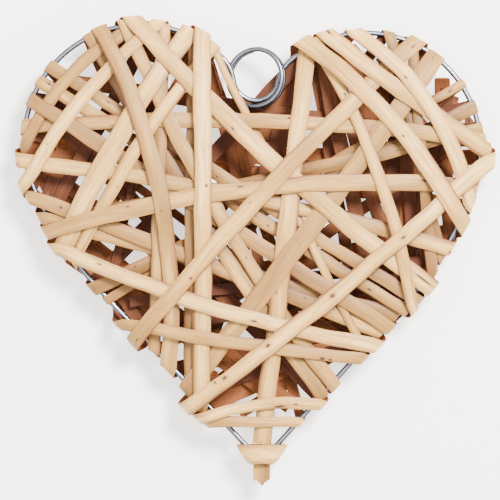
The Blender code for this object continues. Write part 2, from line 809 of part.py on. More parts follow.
def tip_end_piece(number, wire, material, collection):
    """One of the cut strip ends that stand out below the tip wrap."""
    name = f"tip_end_{number + 1}"
    bpy.ops.mesh.primitive_cube_add(size=1.0)
    piece = bpy.context.object
    piece.name = name
    piece.data.name = name
    middle = number - (TIP_END_COUNT - 1) / 2
    for vert in piece.data.vertices:
        below = vert.co.y < 0
        taper = TIP_END_TAPER if below else 1.0
        vert.co.x *= TIP_END_WIDTH * taper
        vert.co.y *= TIP_END_LENGTH
        vert.co.z *= TIP_END_THICKNESS * taper
        if below:
            vert.co.y += abs(middle) * TIP_END_STEP
    piece.location = (
        wire.tip[0] + middle * (TIP_END_WIDTH + GAP),
        wire.tip[1] - WIRE_DIAMETER / 2 - GAP - TIP_END_LENGTH / 2,
        0.0,
    )
    for other in list(piece.users_collection):
        other.objects.unlink(piece)
    collection.objects.link(piece)
    piece.data.materials.append(material)
    return piece


def lay_on_back(pieces, root):
    """Move the whole so that its origin is under the middle of its box, on the surface it lies on."""
    bpy.context.view_layer.update()
    depsgraph = bpy.context.evaluated_depsgraph_get()
    corners = []
    for piece in pieces:
        shape = piece.evaluated_get(depsgraph).to_mesh()
        corners.extend(piece.matrix_world @ vert.co for vert in shape.vertices)
        piece.evaluated_get(depsgraph).to_mesh_clear()
    values = np.array([tuple(corner) for corner in corners])
    low, high = values.min(axis=0), values.max(axis=0)
    root.location = (-(low[0] + high[0]) / 2, -(low[1] + high[1]) / 2, -low[2])


def build():
    clear_scene()
    collection = bpy.data.collections.new("rattan_heart")
    bpy.context.scene.collection.children.link(collection)
    willow = make_material("willow", (0.80, 0.66, 0.46), 0.55, 0.0)
    steel = make_material("steel", (0.55, 0.55, 0.57), 0.25, 1.0)

    wire = HeartWire()
    stride = max(int(round(WIRE_POINT_SPACING / wire.step)), 1)
    pieces = [tube("heart_wire", wire.points[::stride], WIRE_DIAMETER, True, steel, collection)]
    ring = ring_line(wire)
    pieces.append(tube("hanging_ring", ring, RING_WIRE_DIAMETER, False, steel, collection))

    winder = Winder(wire)
    keep_clear_of_ring(winder, ring)
    rest_height = None
    for number, (start, end, width, bow, turn) in enumerate(WINDING, start=1):
        level = None
        if number in RESTING:
            if rest_height is None:
                layer = STRIP_THICKNESS + GAP
                rest_height = float(winder.back.top.max()) + REST_LAYERS * layer
            level = (*RESTING[number], rest_height)
        if end > TIP_HOLD_FROM:
            sections = lay_tip_strip(winder, start, width * TABLE_STEP)
        else:
            bends = (width * TABLE_STEP, bow * TABLE_STEP, math.radians(turn))
            sections = wind_strip(winder, start, end, *bends, level)
        pieces.append(strip_piece(f"willow_strip_{number:02d}", sections, willow, collection))

    pieces.append(tip_wrap_piece(wire, willow, collection))
    for number in range(TIP_END_COUNT):
        pieces.append(tip_end_piece(number, wire, willow, collection))

    root = bpy.data.objects.new("heart_on_its_back", None)
    collection.objects.link(root)
    for piece in pieces:
        piece.parent = root
    lay_on_back(pieces, root)


build()
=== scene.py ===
import math
import bpy
import numpy as np
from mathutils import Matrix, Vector


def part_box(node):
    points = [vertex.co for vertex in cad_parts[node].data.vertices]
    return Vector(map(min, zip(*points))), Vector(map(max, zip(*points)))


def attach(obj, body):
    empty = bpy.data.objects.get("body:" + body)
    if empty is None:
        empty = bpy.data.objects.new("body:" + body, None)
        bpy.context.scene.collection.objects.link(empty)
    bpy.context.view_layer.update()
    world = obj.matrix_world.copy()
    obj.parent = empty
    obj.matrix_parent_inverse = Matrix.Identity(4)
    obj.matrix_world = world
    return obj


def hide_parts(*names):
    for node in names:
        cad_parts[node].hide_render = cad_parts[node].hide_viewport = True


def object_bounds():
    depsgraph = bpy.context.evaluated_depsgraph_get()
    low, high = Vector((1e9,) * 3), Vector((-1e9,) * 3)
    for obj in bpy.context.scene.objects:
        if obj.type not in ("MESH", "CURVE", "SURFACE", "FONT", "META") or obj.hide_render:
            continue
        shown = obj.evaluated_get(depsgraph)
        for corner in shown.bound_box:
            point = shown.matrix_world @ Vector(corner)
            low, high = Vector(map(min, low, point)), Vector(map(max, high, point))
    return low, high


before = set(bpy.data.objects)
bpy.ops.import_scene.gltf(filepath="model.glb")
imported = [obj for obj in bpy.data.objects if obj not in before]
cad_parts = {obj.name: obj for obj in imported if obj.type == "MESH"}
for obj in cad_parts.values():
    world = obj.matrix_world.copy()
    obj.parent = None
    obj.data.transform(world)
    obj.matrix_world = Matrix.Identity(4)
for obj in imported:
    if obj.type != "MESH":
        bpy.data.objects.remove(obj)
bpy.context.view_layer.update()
bpy.ops.object.select_all(action="DESELECT")
print("frame loaded")

heartWire = {  # two round lobes, two bowed flanks that run straight to the tip, and a notch, in metres
    "leftLobeRadius": 0.0493,
    "rightLobeRadius": 0.0485,
    "lobeSpacing": 0.0945,
    "rightLobeRise": -0.0026,
    "tipBelowLobes": 0.1350,
    "tipFromLeftLobe": 0.0508,
    "leftFlankStart": math.radians(23.0),
    "rightFlankStart": math.radians(18.0),
    "leftFlankRadius": 0.1490,
    "rightFlankRadius": 0.1350,
    "wireDiameter": 0.0022,
    "drawnEvery": 3,  # of the wire's points
    "notchFromLeftLobe": 0.0484,
    "notchArm": 0.0024,
    "lobeEndBend": 0.0050,
    "tipBend": 0.0040,
}

hangingRing = {  # two turns of wire, one behind the other, linked round the notch
    "outerDiameter": 0.0264,
    "wireDiameter": 0.0020,
    "turns": 2,
    "pointsPerTurn": 18,
    "roomAtNotch": 0.0005,
    "tilt": math.radians(19.5),
    "nod": math.radians(4.0),
    "smoothSteps": 5,  # points drawn between two of the coil's points
}

willowStrips = {  # in metres where not said
    "thickness": 0.0007,
    "gap": 0.0003,  # between pieces that rest on each other
    "frontDome": 0.0040,  # how far the first strips bulge over the front
    "backDome": 0.0010,
    "domeReach": 0.034,  # from the wire to where the bulge is full
    "tailLength": 0.016,  # behind, before a strip's first wrap
    "steepestLay": 2.5,  # slope
    "widestSkew": 1.4,  # times the width, where a strip crosses the wire aslant
    "wrapPinch": 0.80,  # share of the width that is left where the wire pinches a strip
    "pinchReach": 0.012,  # from the wire to where the strip has its full width again
    "mostShift": 0.3,  # along the wire for each unit round it
    "shortestRun": 0.012,
    "restLayers": 1.4,  # layers between the back's highest point and the level stretches
    "notchClearance": 0.036,
    "tipClearance": 0.022,
    "tipHoldFrom": 95.0,  # a strip that ends past this place on the wire is held by the tip wrap
    "backEndInside": 0.007,
}

windingCare = {  # how finely the winding is worked out, and how few flats a strip is drawn with
    "wireStep": 0.001,
    "domeStride": 3,
    "gridCell": 0.0005,
    "gridMargin": 0.020,
    "fineStep": 0.0005,
    "arcPoints": 90,
    "mostBends": 4,
    "longestFlat": 0.018,
    "shortestFlat": 0.006,
    "flattestBow": 0.0015,
}

octagon = math.tan(math.pi / 8)  # a wrap goes round the wire on half an octagon
wrapCorners = [(octagon, 1.0), (1.0, octagon), (1.0, -octagon), (octagon, -1.0)]  # outward, forward
wrapSide = 2 * octagon

tipWrap = {  # the strip wound round both ends of the wire
    "height": 0.0078,
    "depth": 0.0090,
    "belowTip": 0.0003,
}

# each strip's start and end on the wire in hundredths of a side, less than 0 on the left, then its width
# and bow in table steps, and the degrees that its run behind is turned, the innermost first
tableStep = 0.001
windingTable = [
    (35.6, -69.8, 3.8, 0.0, 22),
    (39.3, -67.4, 6.2, 1.0, -12),
    (42.4, -56.5, 5.8, 2.0, 13),
    (23.0, 61.6, 4.6, 0.0, -4),
    (26.2, 64.2, 4.6, 0.0, -2),
    (-55.9, 72.0, 5.8, 0.0, -35),
    (-52.6, 75.0, 6.4, 0.0, -15),
    (-36.6, 70.7, 5.5, 0.0, -22),
    (-34.2, 68.5, 5.5, -0.3, -36),
    (-27.3, 87.4, 6.5, -2.2, -17),
    (-9.9, 78.7, 3.6, 0.0, -16),
    (-17.2, -79.1, 5.3, 0.0, 37),
    (-12.8, -86.2, 5.5, -0.5, 19),
    (-43.1, 44.0, 6.1, 5.0, -24),
    (-20.7, -46.2, 5.5, -6.6, 4),
    (-39.4, 74.0, 6.3, 0.0, -41),
    (-47.7, 60.0, 6.2, 4.2, -44),
    (-22.3, 85.2, 6.0, -5.8, -6),
    (11.2, 96.6, 7.6, 0.0, 0),
    (-10.0, -62.9, 5.6, -3.5, 34),
    (30.3, -85.9, 8.0, 1.0, 36),
    (-13.8, -60.6, 8.2, -3.0, -36),
    (-18.0, -50.6, 5.7, -4.5, -17),
    (-21.1, 65.9, 7.6, -5.0, -30),
    (-57.8, 50.7, 6.8, 9.0, -16),
    (-25.7, -82.1, 6.8, 11.0, 12),
    (-12.0, -88.6, 7.4, 1.0, 30),
    (-73.7, 79.9, 5.4, -1.0, 0),
    (-91.6, 92.3, 4.6, 0.5, -2),
    (-90.4, 88.5, 5.0, 2.5, 0),
    (-60.5, 77.3, 6.4, -4.5, -34),
    (12.5, 69.3, 5.2, 5.5, 36),
    (26.8, -76.2, 7.0, -3.0, 24),
    (14.4, 45.3, 7.0, -1.0, -32),
    (18.3, 53.0, 6.5, 8.5, -44),
    (47.2, -88.0, 6.8, 2.0, -20),
    (11.3, 56.1, 7.4, 6.0, 0),
]
# the strips whose runs behind have a level stretch, on which the heart lies, and its shares of the run
restingRuns = {35: (0.40, 0.95), 36: (0.35, 0.90), 37: (0.30, 0.70)}


# points along an arc, both ends included
def arcPoints(centre, radius, start, end, count):
    angles = np.linspace(start, end, count)
    return [(centre[0] + radius * math.cos(a), centre[1] + radius * math.sin(a)) for a in angles]


# points from the bottom of the notch, round one lobe, along its flank and straight to the tip
def heartSide(name, centre, bendCentre, bendRadius, tip, sign):
    radius, flankStart, flankRadius = [
        heartWire[name + size] for size in ("LobeRadius", "FlankStart", "FlankRadius")]
    turn = -flankStart if sign > 0 else math.pi + flankStart
    notchEnd = 0.0 if sign > 0 else -math.pi
    notch = arcPoints(bendCentre, bendRadius, -math.pi / 2, notchEnd, windingCare["arcPoints"])
    meeting = bendCentre[0] + sign * bendRadius
    lobeStart = math.acos((meeting - centre[0]) / radius)
    lobe = arcPoints(centre, radius, lobeStart, turn, windingCare["arcPoints"])
    outward = np.array([math.cos(turn), math.sin(turn)])
    flankCentre = np.array(centre) - (flankRadius - radius) * outward
    toTip = tip - flankCentre
    lean = math.acos(min(flankRadius / float(np.linalg.norm(toTip)), 1.0))
    flankEnd = math.atan2(toTip[1], toTip[0]) + sign * lean
    if sign < 0:
        flankEnd %= 2 * math.pi
    flank = arcPoints(flankCentre, flankRadius, turn, flankEnd, windingCare["arcPoints"])
    return notch, lobe + flank[1:] + [tuple(tip)]


# how high the top of one lobe's circle is at a given x
def lobeHeight(centre, radius, x):
    return centre[1] + math.sqrt(radius**2 - (x - centre[0]) ** 2)


# the centre line of the heart wire, as close points with their tangents and outward normals
class HeartWire:
    def __init__(self):
        left = (0.0, 0.0)
        right = (heartWire["lobeSpacing"], heartWire["rightLobeRise"])
        self.tip = np.array([heartWire["tipFromLeftLobe"], -heartWire["tipBelowLobes"]])
        bothWires = hangingRing["wireDiameter"] + heartWire["wireDiameter"]
        bendRadius = ringRadius() - bothWires / 2 - hangingRing["roomAtNotch"]
        notchX = heartWire["notchFromLeftLobe"]
        leftArm = lobeHeight(left, heartWire["leftLobeRadius"], notchX - bendRadius)
        rightArm = lobeHeight(right, heartWire["rightLobeRadius"], notchX + bendRadius)
        self.notch = np.array([notchX, min(leftArm, rightArm) - heartWire["notchArm"]])
        leftNotch, leftSide = heartSide("left", left, self.notch, bendRadius, self.tip, -1)
        rightNotch, rightSide = heartSide("right", right, self.notch, bendRadius, self.tip, 1)
        leftEnd = lineLength(leftNotch + leftSide[:1])
        rightEnd = lineLength(rightNotch + rightSide[:1])
        leftSide = leftNotch + leftSide
        rightSide = rightNotch + rightSide
        raw = np.array(leftSide + rightSide[::-1][1:])
        self.leftLength = lineLength(leftSide)
        self.rightLength = lineLength(rightSide)
        self.length = self.leftLength + self.rightLength
        self.count = int(round(self.length / windingCare["wireStep"]))
        self.step = self.length / self.count
        self.points = resample(raw, self.count)
        self.roundCorner(int(round(leftEnd / self.step)), heartWire["lobeEndBend"])
        self.roundCorner(int(round((self.length - rightEnd) / self.step)), heartWire["lobeEndBend"])
        self.roundCorner(int(round(self.leftLength / self.step)), heartWire["tipBend"])
        ahead = np.roll(self.points, -1, axis=0)
        behind = np.roll(self.points, 1, axis=0)
        self.tangents = (ahead - behind) / np.linalg.norm(ahead - behind, axis=1)[:, None]
        self.normals = np.column_stack([self.tangents[:, 1], -self.tangents[:, 0]])

    # replace a sharp corner by a bend that starts a given length before it
    def roundCorner(self, index, bend):
        reach = int(round(bend / self.step))
        steps = np.arange(-reach, reach + 1)
        before = self.points[(index - reach) % self.count].copy()
        corner = self.points[index % self.count].copy()
        after = self.points[(index + reach) % self.count].copy()
        for step in steps:
            t = (step + reach) / (2 * reach)
            bent = before * (1 - t) ** 2 + corner * 2 * t * (1 - t) + after * t * t
            self.points[(index + step) % self.count] = bent

    # length along the loop of a place given in hundredths of a side
    def place(self, hundredths):
        if hundredths < 0:
            return -hundredths / 100 * self.leftLength
        return self.length - hundredths / 100 * self.rightLength

    def readAt(self, values, along):
        position = along / self.step
        lower = int(math.floor(position))
        share = position - lower
        return values[lower % self.count] * (1 - share) + values[(lower + 1) % self.count] * share

    def point(self, along):
        return self.readAt(self.points, along)

    def tangent(self, along):
        return self.readAt(self.tangents, along)

    def normal(self, along):
        return self.readAt(self.normals, along)

    # length along the loop where a ray from inside first meets the wire
    def hit(self, start, direction):
        ahead = np.roll(self.points, -1, axis=0)
        edges = ahead - self.points
        offsets = self.points - start
        cross = direction[0] * edges[:, 1] - direction[1] * edges[:, 0]
        cross = np.where(np.abs(cross) < 1e-12, 1e-12, cross)
        distance = (offsets[:, 0] * edges[:, 1] - offsets[:, 1] * edges[:, 0]) / cross
        share = (offsets[:, 0] * direction[1] - offsets[:, 1] * direction[0]) / cross
        good = (share >= 0) & (share <= 1) & (distance > willowStrips["shortestRun"])
        if not good.any():
            return None
        first = int(np.argmin(np.where(good, distance, np.inf)))
        return (first + share[first]) * self.step


# length of a line of points
def lineLength(points):
    return float(np.linalg.norm(np.diff(np.array(points), axis=0), axis=1).sum())


# read a line of points at even steps of its length, leaving out its end
def resample(points, count):
    lengths = np.concatenate([[0.0], np.cumsum(np.linalg.norm(np.diff(points, axis=0), axis=1))])
    at = np.arange(count) / count * lengths[-1]
    return np.column_stack([np.interp(at, lengths, points[:, k]) for k in (0, 1)])


# how far one face is already covered, measured from the wire's plane on a square grid
class Pile:
    def __init__(self, wire, dome):
        low = wire.points.min(axis=0) - windingCare["gridMargin"]
        high = wire.points.max(axis=0) + windingCare["gridMargin"]
        self.low = low
        columns, rows = np.ceil((high - low) / windingCare["gridCell"]).astype(int) + 1
        x = low[0] + np.arange(columns) * windingCare["gridCell"]
        y = low[1] + np.arange(rows) * windingCare["gridCell"]
        grid = np.stack(np.meshgrid(x, y), axis=-1)
        nearest = np.full(grid.shape[:2], np.inf)
        for point in wire.points[::windingCare["domeStride"]]:
            nearest = np.minimum(nearest, np.hypot(grid[..., 0] - point[0], grid[..., 1] - point[1]))
        depth = np.clip(nearest / willowStrips["domeReach"], 0.0, 1.0)
        inside = insideLoop(grid, wire.points)
        self.top = np.where(inside, dome * (1 - (1 - depth) ** 2), 0.0)
        wireRadius = heartWire["wireDiameter"] / 2
        self.top = np.where(nearest < wireRadius + windingCare["gridCell"], wireRadius, self.top)
        self.settle()

    # widen what is covered by one cell each way, so that a reading is never too low
    def settle(self):
        wide = self.top.copy()
        for dx in (-1, 0, 1):
            for dy in (-1, 0, 1):
                wide = np.maximum(wide, np.roll(np.roll(self.top, dx, axis=1), dy, axis=0))
        self.guard = wide

    def cells(self, points):
        index = np.rint((np.asarray(points) - self.low) / windingCare["gridCell"]).astype(int)
        columns = np.clip(index[..., 0], 0, self.top.shape[1] - 1)
        rows = np.clip(index[..., 1], 0, self.top.shape[0] - 1)
        return rows, columns

    def height(self, points):
        return self.guard[self.cells(points)]

    def cover(self, points, height):
        np.maximum.at(self.top, self.cells(points), height)


# which points of a grid lie inside a closed line
def insideLoop(grid, loop):
    x, y = grid[..., 0], grid[..., 1]
    inside = np.zeros(x.shape, dtype=bool)
    following = np.roll(loop, -1, axis=0)
    for (x0, y0), (x1, y1) in zip(loop, following):
        if y0 == y1:
            continue
        crosses = (y0 > y) != (y1 > y)
        inside ^= crosses & (x < (x1 - x0) * (y - y0) / (y1 - y0) + x0)
    return inside


# the tightest line that bends only downwards and stays over all the needed heights
def tautProfile(shares, needed):
    hull = []
    for point in zip(shares, needed):
        while len(hull) >= 2:
            (x0, y0), (x1, y1) = hull[-2], hull[-1]
            if (x1 - x0) * (point[1] - y0) - (y1 - y0) * (point[0] - x0) < 0:
                break
            hull.pop()
        hull.append(point)
    return hull


# drop the sides of a taut profile that matter least, by running their neighbours on to meet
def fewerBends(hull, most):
    hull = list(hull)
    while len(hull) - 2 > most:
        best = None
        for i in range(1, len(hull) - 2):
            meeting = linesMeet(hull[i - 1], hull[i], hull[i + 2], hull[i + 1])
            if meeting is None:
                continue
            span = (meeting[0] - hull[i][0]) / (hull[i + 1][0] - hull[i][0])
            side = hull[i][1] + (hull[i + 1][1] - hull[i][1]) * span
            added = meeting[1] - side
            if best is None or added < best[0]:
                best = (added, i, meeting)
        if best is None:
            return hull
        hull[best[1]:best[1] + 2] = [best[2]]
    return hull


# where the line a to b, run on, meets the line c to d, run on
def linesMeet(a, b, c, d):
    slopeOne = (b[1] - a[1]) / (b[0] - a[0])
    slopeTwo = (d[1] - c[1]) / (d[0] - c[0])
    if abs(slopeOne - slopeTwo) < 1e-9:
        return None
    x = (c[1] - a[1] + slopeOne * a[0] - slopeTwo * c[0]) / (slopeOne - slopeTwo)
    if not b[0] - 1e-9 <= x <= d[0] + 1e-9:
        return None
    return x, a[1] + slopeOne * (x - a[0])


# one straight or slightly bowed stretch of a strip over a face, between two pairs of edge points
class Run:
    def __init__(self, start, end, bow=0.0, pinched=(True, False)):
        self.start = start
        self.end = end
        middle = (end[0] + end[1] - start[0] - start[1]) / 2
        self.length = float(np.linalg.norm(middle))
        self.bow = bow
        self.sideways = np.array([-middle[1], middle[0]]) / self.length
        self.pinched = pinched
        self.count = max(int(self.length / windingCare["fineStep"]), 4)
        self.shares = np.linspace(0.0, 1.0, self.count + 1)

    # how much wider the strip is there than where the wire pinches it
    def swell(self, share):
        clear = 1.0
        for held, away in zip(self.pinched, (share, 1 - share)):
            if held:
                clear = min(clear, away * self.length / willowStrips["pinchReach"])
        return 1 + (1 / willowStrips["wrapPinch"] - 1) * clear

    def edges(self, share):
        swing = self.sideways * (self.bow * 4 * share * (1 - share))
        first = self.start[0] * (1 - share) + self.end[0] * share + swing
        second = self.start[1] * (1 - share) + self.end[1] * share + swing
        middle = (first + second) / 2
        return middle + (first - middle) * self.swell(share), middle + (second - middle) * self.swell(share)

    # close points over the whole strip, one row for each share of its length
    def spots(self):
        widths = [np.linalg.norm(ends[0] - ends[1]) for ends in (self.start, self.end)]
        width = max(widths) / willowStrips["wrapPinch"]
        across = np.linspace(0.0, 1.0, max(int(width / windingCare["fineStep"]), 2) + 1)
        rows = []
        for share in self.shares:
            first, second = self.edges(share)
            rows.append(first + (second - first) * across[:, None])
        return np.array(rows)

    def needed(self, pile):
        return pile.height(self.spots()).max(axis=1) + willowStrips["gap"]

    # the least height at one end from which a strip can climb over all that lies ahead
    def endHeight(self, pile, end=0):
        distance = self.shares * self.length
        if end == 1:
            distance = distance[::-1]
        return float((self.needed(pile) - willowStrips["steepestLay"] * distance).max())

    # draw the strip taut over the pile and over any level stretch, and add it to the pile
    def lay(self, pile, firstHeight, lastHeight=None, level=None):
        needed = self.needed(pile)
        if level is not None:
            low, high, height = level
            resting = (self.shares >= low) & (self.shares <= high)
            needed = np.where(resting, np.maximum(needed, height), needed)
        needed[0] = firstHeight
        if lastHeight is not None:
            needed[-1] = lastHeight
        hull = fewerBends(tautProfile(self.shares, needed), windingCare["mostBends"])
        bends = [point[0] for point in hull]
        spaces = max(int(round(self.length / windingCare["longestFlat"])), 1)
        if abs(self.bow) < windingCare["flattestBow"]:
            spaces = max(spaces // 2, 1)
        for share in np.linspace(0.0, 1.0, spaces + 1):
            if min(abs(share - bend) for bend in bends) * self.length > windingCare["shortestFlat"]:
                bends.append(float(share))
        bends.sort()
        heights = np.interp(bends, [p[0] for p in hull], [p[1] for p in hull])
        top = np.interp(self.shares, bends, heights) + willowStrips["thickness"]
        spots = self.spots()
        pile.cover(spots, np.repeat(top[:, None], spots.shape[1], axis=1))
        pile.settle()
        self.stations = [(*self.edges(share), height) for share, height in zip(bends, heights)]
        return self


# keeps the wire, both faces and the wraps round the wire while the strips are wound on
class Winder:
    def __init__(self, wire):
        self.wire = wire
        self.front = Pile(wire, willowStrips["frontDome"])
        self.back = Pile(wire, willowStrips["backDome"])
        self.girth = np.full(wire.count, heartWire["wireDiameter"] / 2)

    # indices of the wire's points over a stretch of it
    def stretch(self, low, high):
        first = int(math.floor((low - windingCare["gridCell"]) / self.wire.step))
        last = int(math.ceil((high + windingCare["gridCell"]) / self.wire.step))
        return np.arange(first, last + 1) % self.wire.count

    def girthOver(self, low, high):
        return float(self.girth[self.stretch(low, high)].max()) + willowStrips["gap"]

    # add one wrap to the girth
    def addWrap(self, low, high, radius):
        reach = self.stretch(low, high)
        self.girth[reach] = np.maximum(self.girth[reach], radius + willowStrips["thickness"])

    # add the half of a wrap that lies on one face to that face
    def coverWrap(self, pile, low, high, radius):
        outer = radius + willowStrips["thickness"]
        spread = np.arange(0.0, outer, windingCare["fineStep"])[:, None]
        for index in self.stretch(low, high):
            pile.cover(self.wire.points[index] + self.wire.normals[index] * spread, outer)
        pile.settle()

    def halfWidth(self, along, direction, width):
        slant = abs(cross2d(self.wire.tangent(along), direction))
        return willowStrips["wrapPinch"] * width / 2 * min(1 / max(slant, 1e-6), willowStrips["widestSkew"])

    # how far the strip moves along the wire for each unit that it goes round it
    def shiftRate(self, along, direction):
        outward = float(direction @ self.wire.normal(along))
        rate = float(direction @ self.wire.tangent(along)) / max(abs(outward), 1e-6)
        return max(-willowStrips["mostShift"], min(willowStrips["mostShift"], rate))

    # one corner of a wrap: its place in plan and its height, for the given inner radius
    def corner(self, along, radius, number):
        across, height = wrapCorners[number]
        point = self.wire.point(along) + self.wire.normal(along) * (radius * across)
        return np.array([point[0], point[1], radius * height])


def cross2d(a, b):
    return float(a[0] * b[1] - a[1] * b[0])


# the strip's direction after it has gone round the wire
def reflect(direction, wire, along):
    tangent = wire.tangent(along)
    normal = wire.normal(along)
    bounced = tangent * float(direction @ tangent) - normal * float(direction @ normal)
    return bounced / np.linalg.norm(bounced)


# a strip's way round the wire at one place, from the front face to the back face
class Wrap:
    def __init__(self, winder, along, direction, width, side):
        self.winder = winder
        self.along = along
        self.direction = direction
        half = winder.halfWidth(along, direction, width)
        leftward = np.array([-direction[1], direction[0]])
        sign = 1.0 if float(winder.wire.tangent(along) @ leftward) * side > 0 else -1.0
        self.half = half * sign
        self.rate = winder.shiftRate(along, direction)
        self.radius = winder.girthOver(along - half, along + half)
        self.grow(0.0)

    # take on the largest of the given heights and of what the wrap has to clear
    def grow(self, *heights):
        self.radius = max(self.radius, *heights)
        self.radius = max(self.radius, self.winder.girthOver(*self.span()))

    def middle(self, number):
        return self.along + wrapSide * self.radius * self.rate * number

    def span(self, first=0, last=3):
        places = [self.middle(number) + sign * self.half for number in (first, last) for sign in (-1, 1)]
        return min(places), max(places)

    # the two edge points in plan at one corner of the wrap
    def planEdges(self, number):
        low = self.winder.corner(self.middle(number) + self.half, self.radius, number)
        high = self.winder.corner(self.middle(number) - self.half, self.radius, number)
        return low[:2], high[:2]

    # inner and outer edge points at one corner
    def section(self, number):
        outer = self.radius + willowStrips["thickness"]
        rows = []
        for radius in (self.radius, outer):
            rows.append(self.winder.corner(self.middle(number) + self.half, radius, number))
            rows.append(self.winder.corner(self.middle(number) - self.half, radius, number))
        return rows

    def close(self):
        self.winder.addWrap(*self.span(), self.radius)
        self.winder.coverWrap(self.winder.front, *self.span(0, 1), self.radius)
        self.winder.coverWrap(self.winder.back, *self.span(2, 3), self.radius)


# inner and outer edge points of a laid run, for the front (1) or the back (-1)
def runSections(run, face):
    sections = []
    for first, second, height in run.stations:
        levels = (face * height, face * (height + willowStrips["thickness"]))
        sections.append([np.array([*edge, level]) for level in levels for edge in (first, second)])
    return sections


# a short tail behind a strip's first wrap
def tailBehind(wrap, way):
    start = wrap.planEdges(3)
    return Run(start, [edge + way * willowStrips["tailLength"] for edge in start])


# the sections of a strip's tail and of its first wrap
def startSections(tail, first):
    return runSections(tail, -1)[::-1][:-1] + [first.section(number) for number in (3, 2, 1, 0)]


# wind one strip: a tail behind its start, the run over the front, and the run back behind
def windStrip(winder, start, end, width, bow, turn, level=None):
    wire = winder.wire
    firstPlace = wire.place(start)
    lastPlace = wire.place(end)
    direction = wire.point(lastPlace) - wire.point(firstPlace)
    chord = float(np.linalg.norm(direction))
    direction /= chord
    lean = math.atan2(4 * bow, chord)
    turnIn = np.array([[math.cos(lean), -math.sin(lean)], [math.sin(lean), math.cos(lean)]])
    settingOut = turnIn @ direction
    comingIn = turnIn.T @ direction
    first = Wrap(winder, firstPlace, -settingOut, width, -1)
    last = Wrap(winder, lastPlace, comingIn, width, 1)

    tailWay = reflect(-settingOut, wire, firstPlace)
    backWay = reflect(comingIn, wire, lastPlace)
    behindEnd = backEnd(winder, last, backWay, turn, width)

    settled = 0.0
    while settled < first.radius + last.radius:
        settled = first.radius + last.radius
        over = Run(first.planEdges(0), last.planEdges(0), bow, (True, True))
        tail = tailBehind(first, tailWay)
        behind = Run(last.planEdges(3), behindEnd)
        first.grow(over.endHeight(winder.front), tail.endHeight(winder.back))
        last.grow(over.endHeight(winder.front, 1), behind.endHeight(winder.back))

    tail.lay(winder.back, first.radius)
    over.lay(winder.front, first.radius, last.radius)
    first.close()
    last.close()
    behind.lay(winder.back, last.radius, level=level)
    lastWrap = [last.section(number) for number in (0, 1, 2, 3)]
    return startSections(tail, first) + runSections(over, 1)[1:-1] + lastWrap + runSections(behind, -1)[1:]


# the two edge points where a strip ends behind, inside the wire across from its last wrap
def backEnd(winder, last, backWay, turn, width):
    wire = winder.wire
    start = wire.point(last.middle(3))
    angle = math.atan2(backWay[1], backWay[0]) + turn
    place = wire.hit(start, np.array([math.cos(angle), math.sin(angle)]))
    point = wire.point(clearOfCorners(wire, place))
    way = (point - start) / np.linalg.norm(point - start)
    point = point - way * willowStrips["backEndInside"]
    across = np.array([-way[1], way[0]]) * (willowStrips["wrapPinch"] * width / 2)
    if cross2d(way, last.planEdges(3)[0] - last.planEdges(3)[1]) < 0:
        across = -across
    return [point + across, point - across]


# keep a place on the wire away from the notch and from the tip
def clearOfCorners(wire, along):
    along %= wire.length
    notchClearance = willowStrips["notchClearance"]
    tipClearance = willowStrips["tipClearance"]
    corners = ((0.0, notchClearance), (wire.leftLength, tipClearance), (wire.length, notchClearance))
    for corner, clearance in corners:
        if abs(along - corner) < clearance:
            return corner + math.copysign(clearance, along - corner)
    return along


# lay the strip that runs down the front and ends above the tip wrap, with a tail behind its start
def layTipStrip(winder, start, width):
    wire = winder.wire
    firstPlace = wire.place(start)
    aboveTip = tipWrap["height"] - tipWrap["belowTip"] + willowStrips["gap"]
    foot = wire.tip + np.array([0.0, aboveTip])
    direction = foot - wire.point(firstPlace)
    direction /= np.linalg.norm(direction)
    first = Wrap(winder, firstPlace, -direction, width, -1)
    tailWay = reflect(-direction, wire, firstPlace)
    across = np.array([willowStrips["wrapPinch"] * width / 2, 0.0])
    settled = 0.0
    while settled < first.radius:
        settled = first.radius
        over = Run(first.planEdges(0), [foot + across, foot - across])
        tail = tailBehind(first, tailWay)
        first.grow(over.endHeight(winder.front), tail.endHeight(winder.back))
    tail.lay(winder.back, first.radius)
    over.lay(winder.front, first.radius)
    first.close()
    return startSections(tail, first) + runSections(over, 1)[1:]


# from the ring's middle to the middle of its wire
def ringRadius():
    return (hangingRing["outerDiameter"] - hangingRing["wireDiameter"]) / 2


# points along the hanging ring, a flat coil round the bend of the notch, tilted so that it links it
def ringLine(wire):
    radius = ringRadius()
    pitch = hangingRing["wireDiameter"] + willowStrips["gap"]
    centre = np.array([wire.notch[0], wire.notch[1], 0.0])
    steps = hangingRing["turns"] * hangingRing["pointsPerTurn"]
    nodCos, nodSin = math.cos(hangingRing["nod"]), math.sin(hangingRing["nod"])
    tiltCos, tiltSin = math.cos(hangingRing["tilt"]), math.sin(hangingRing["tilt"])
    points = []
    for step in range(steps):
        angle = 2 * math.pi * (step + 0.5) / hangingRing["pointsPerTurn"] + math.pi / 2
        depth = pitch * (step / (steps - 1) - 0.5) * hangingRing["turns"]
        x = radius * math.cos(angle)
        y = radius * math.sin(angle) * nodCos + depth * nodSin
        z = depth * nodCos - radius * math.sin(angle) * nodSin
        points.append(centre + np.array([x * tiltCos - z * tiltSin, y, x * tiltSin + z * tiltCos]))
    return np.array(points)


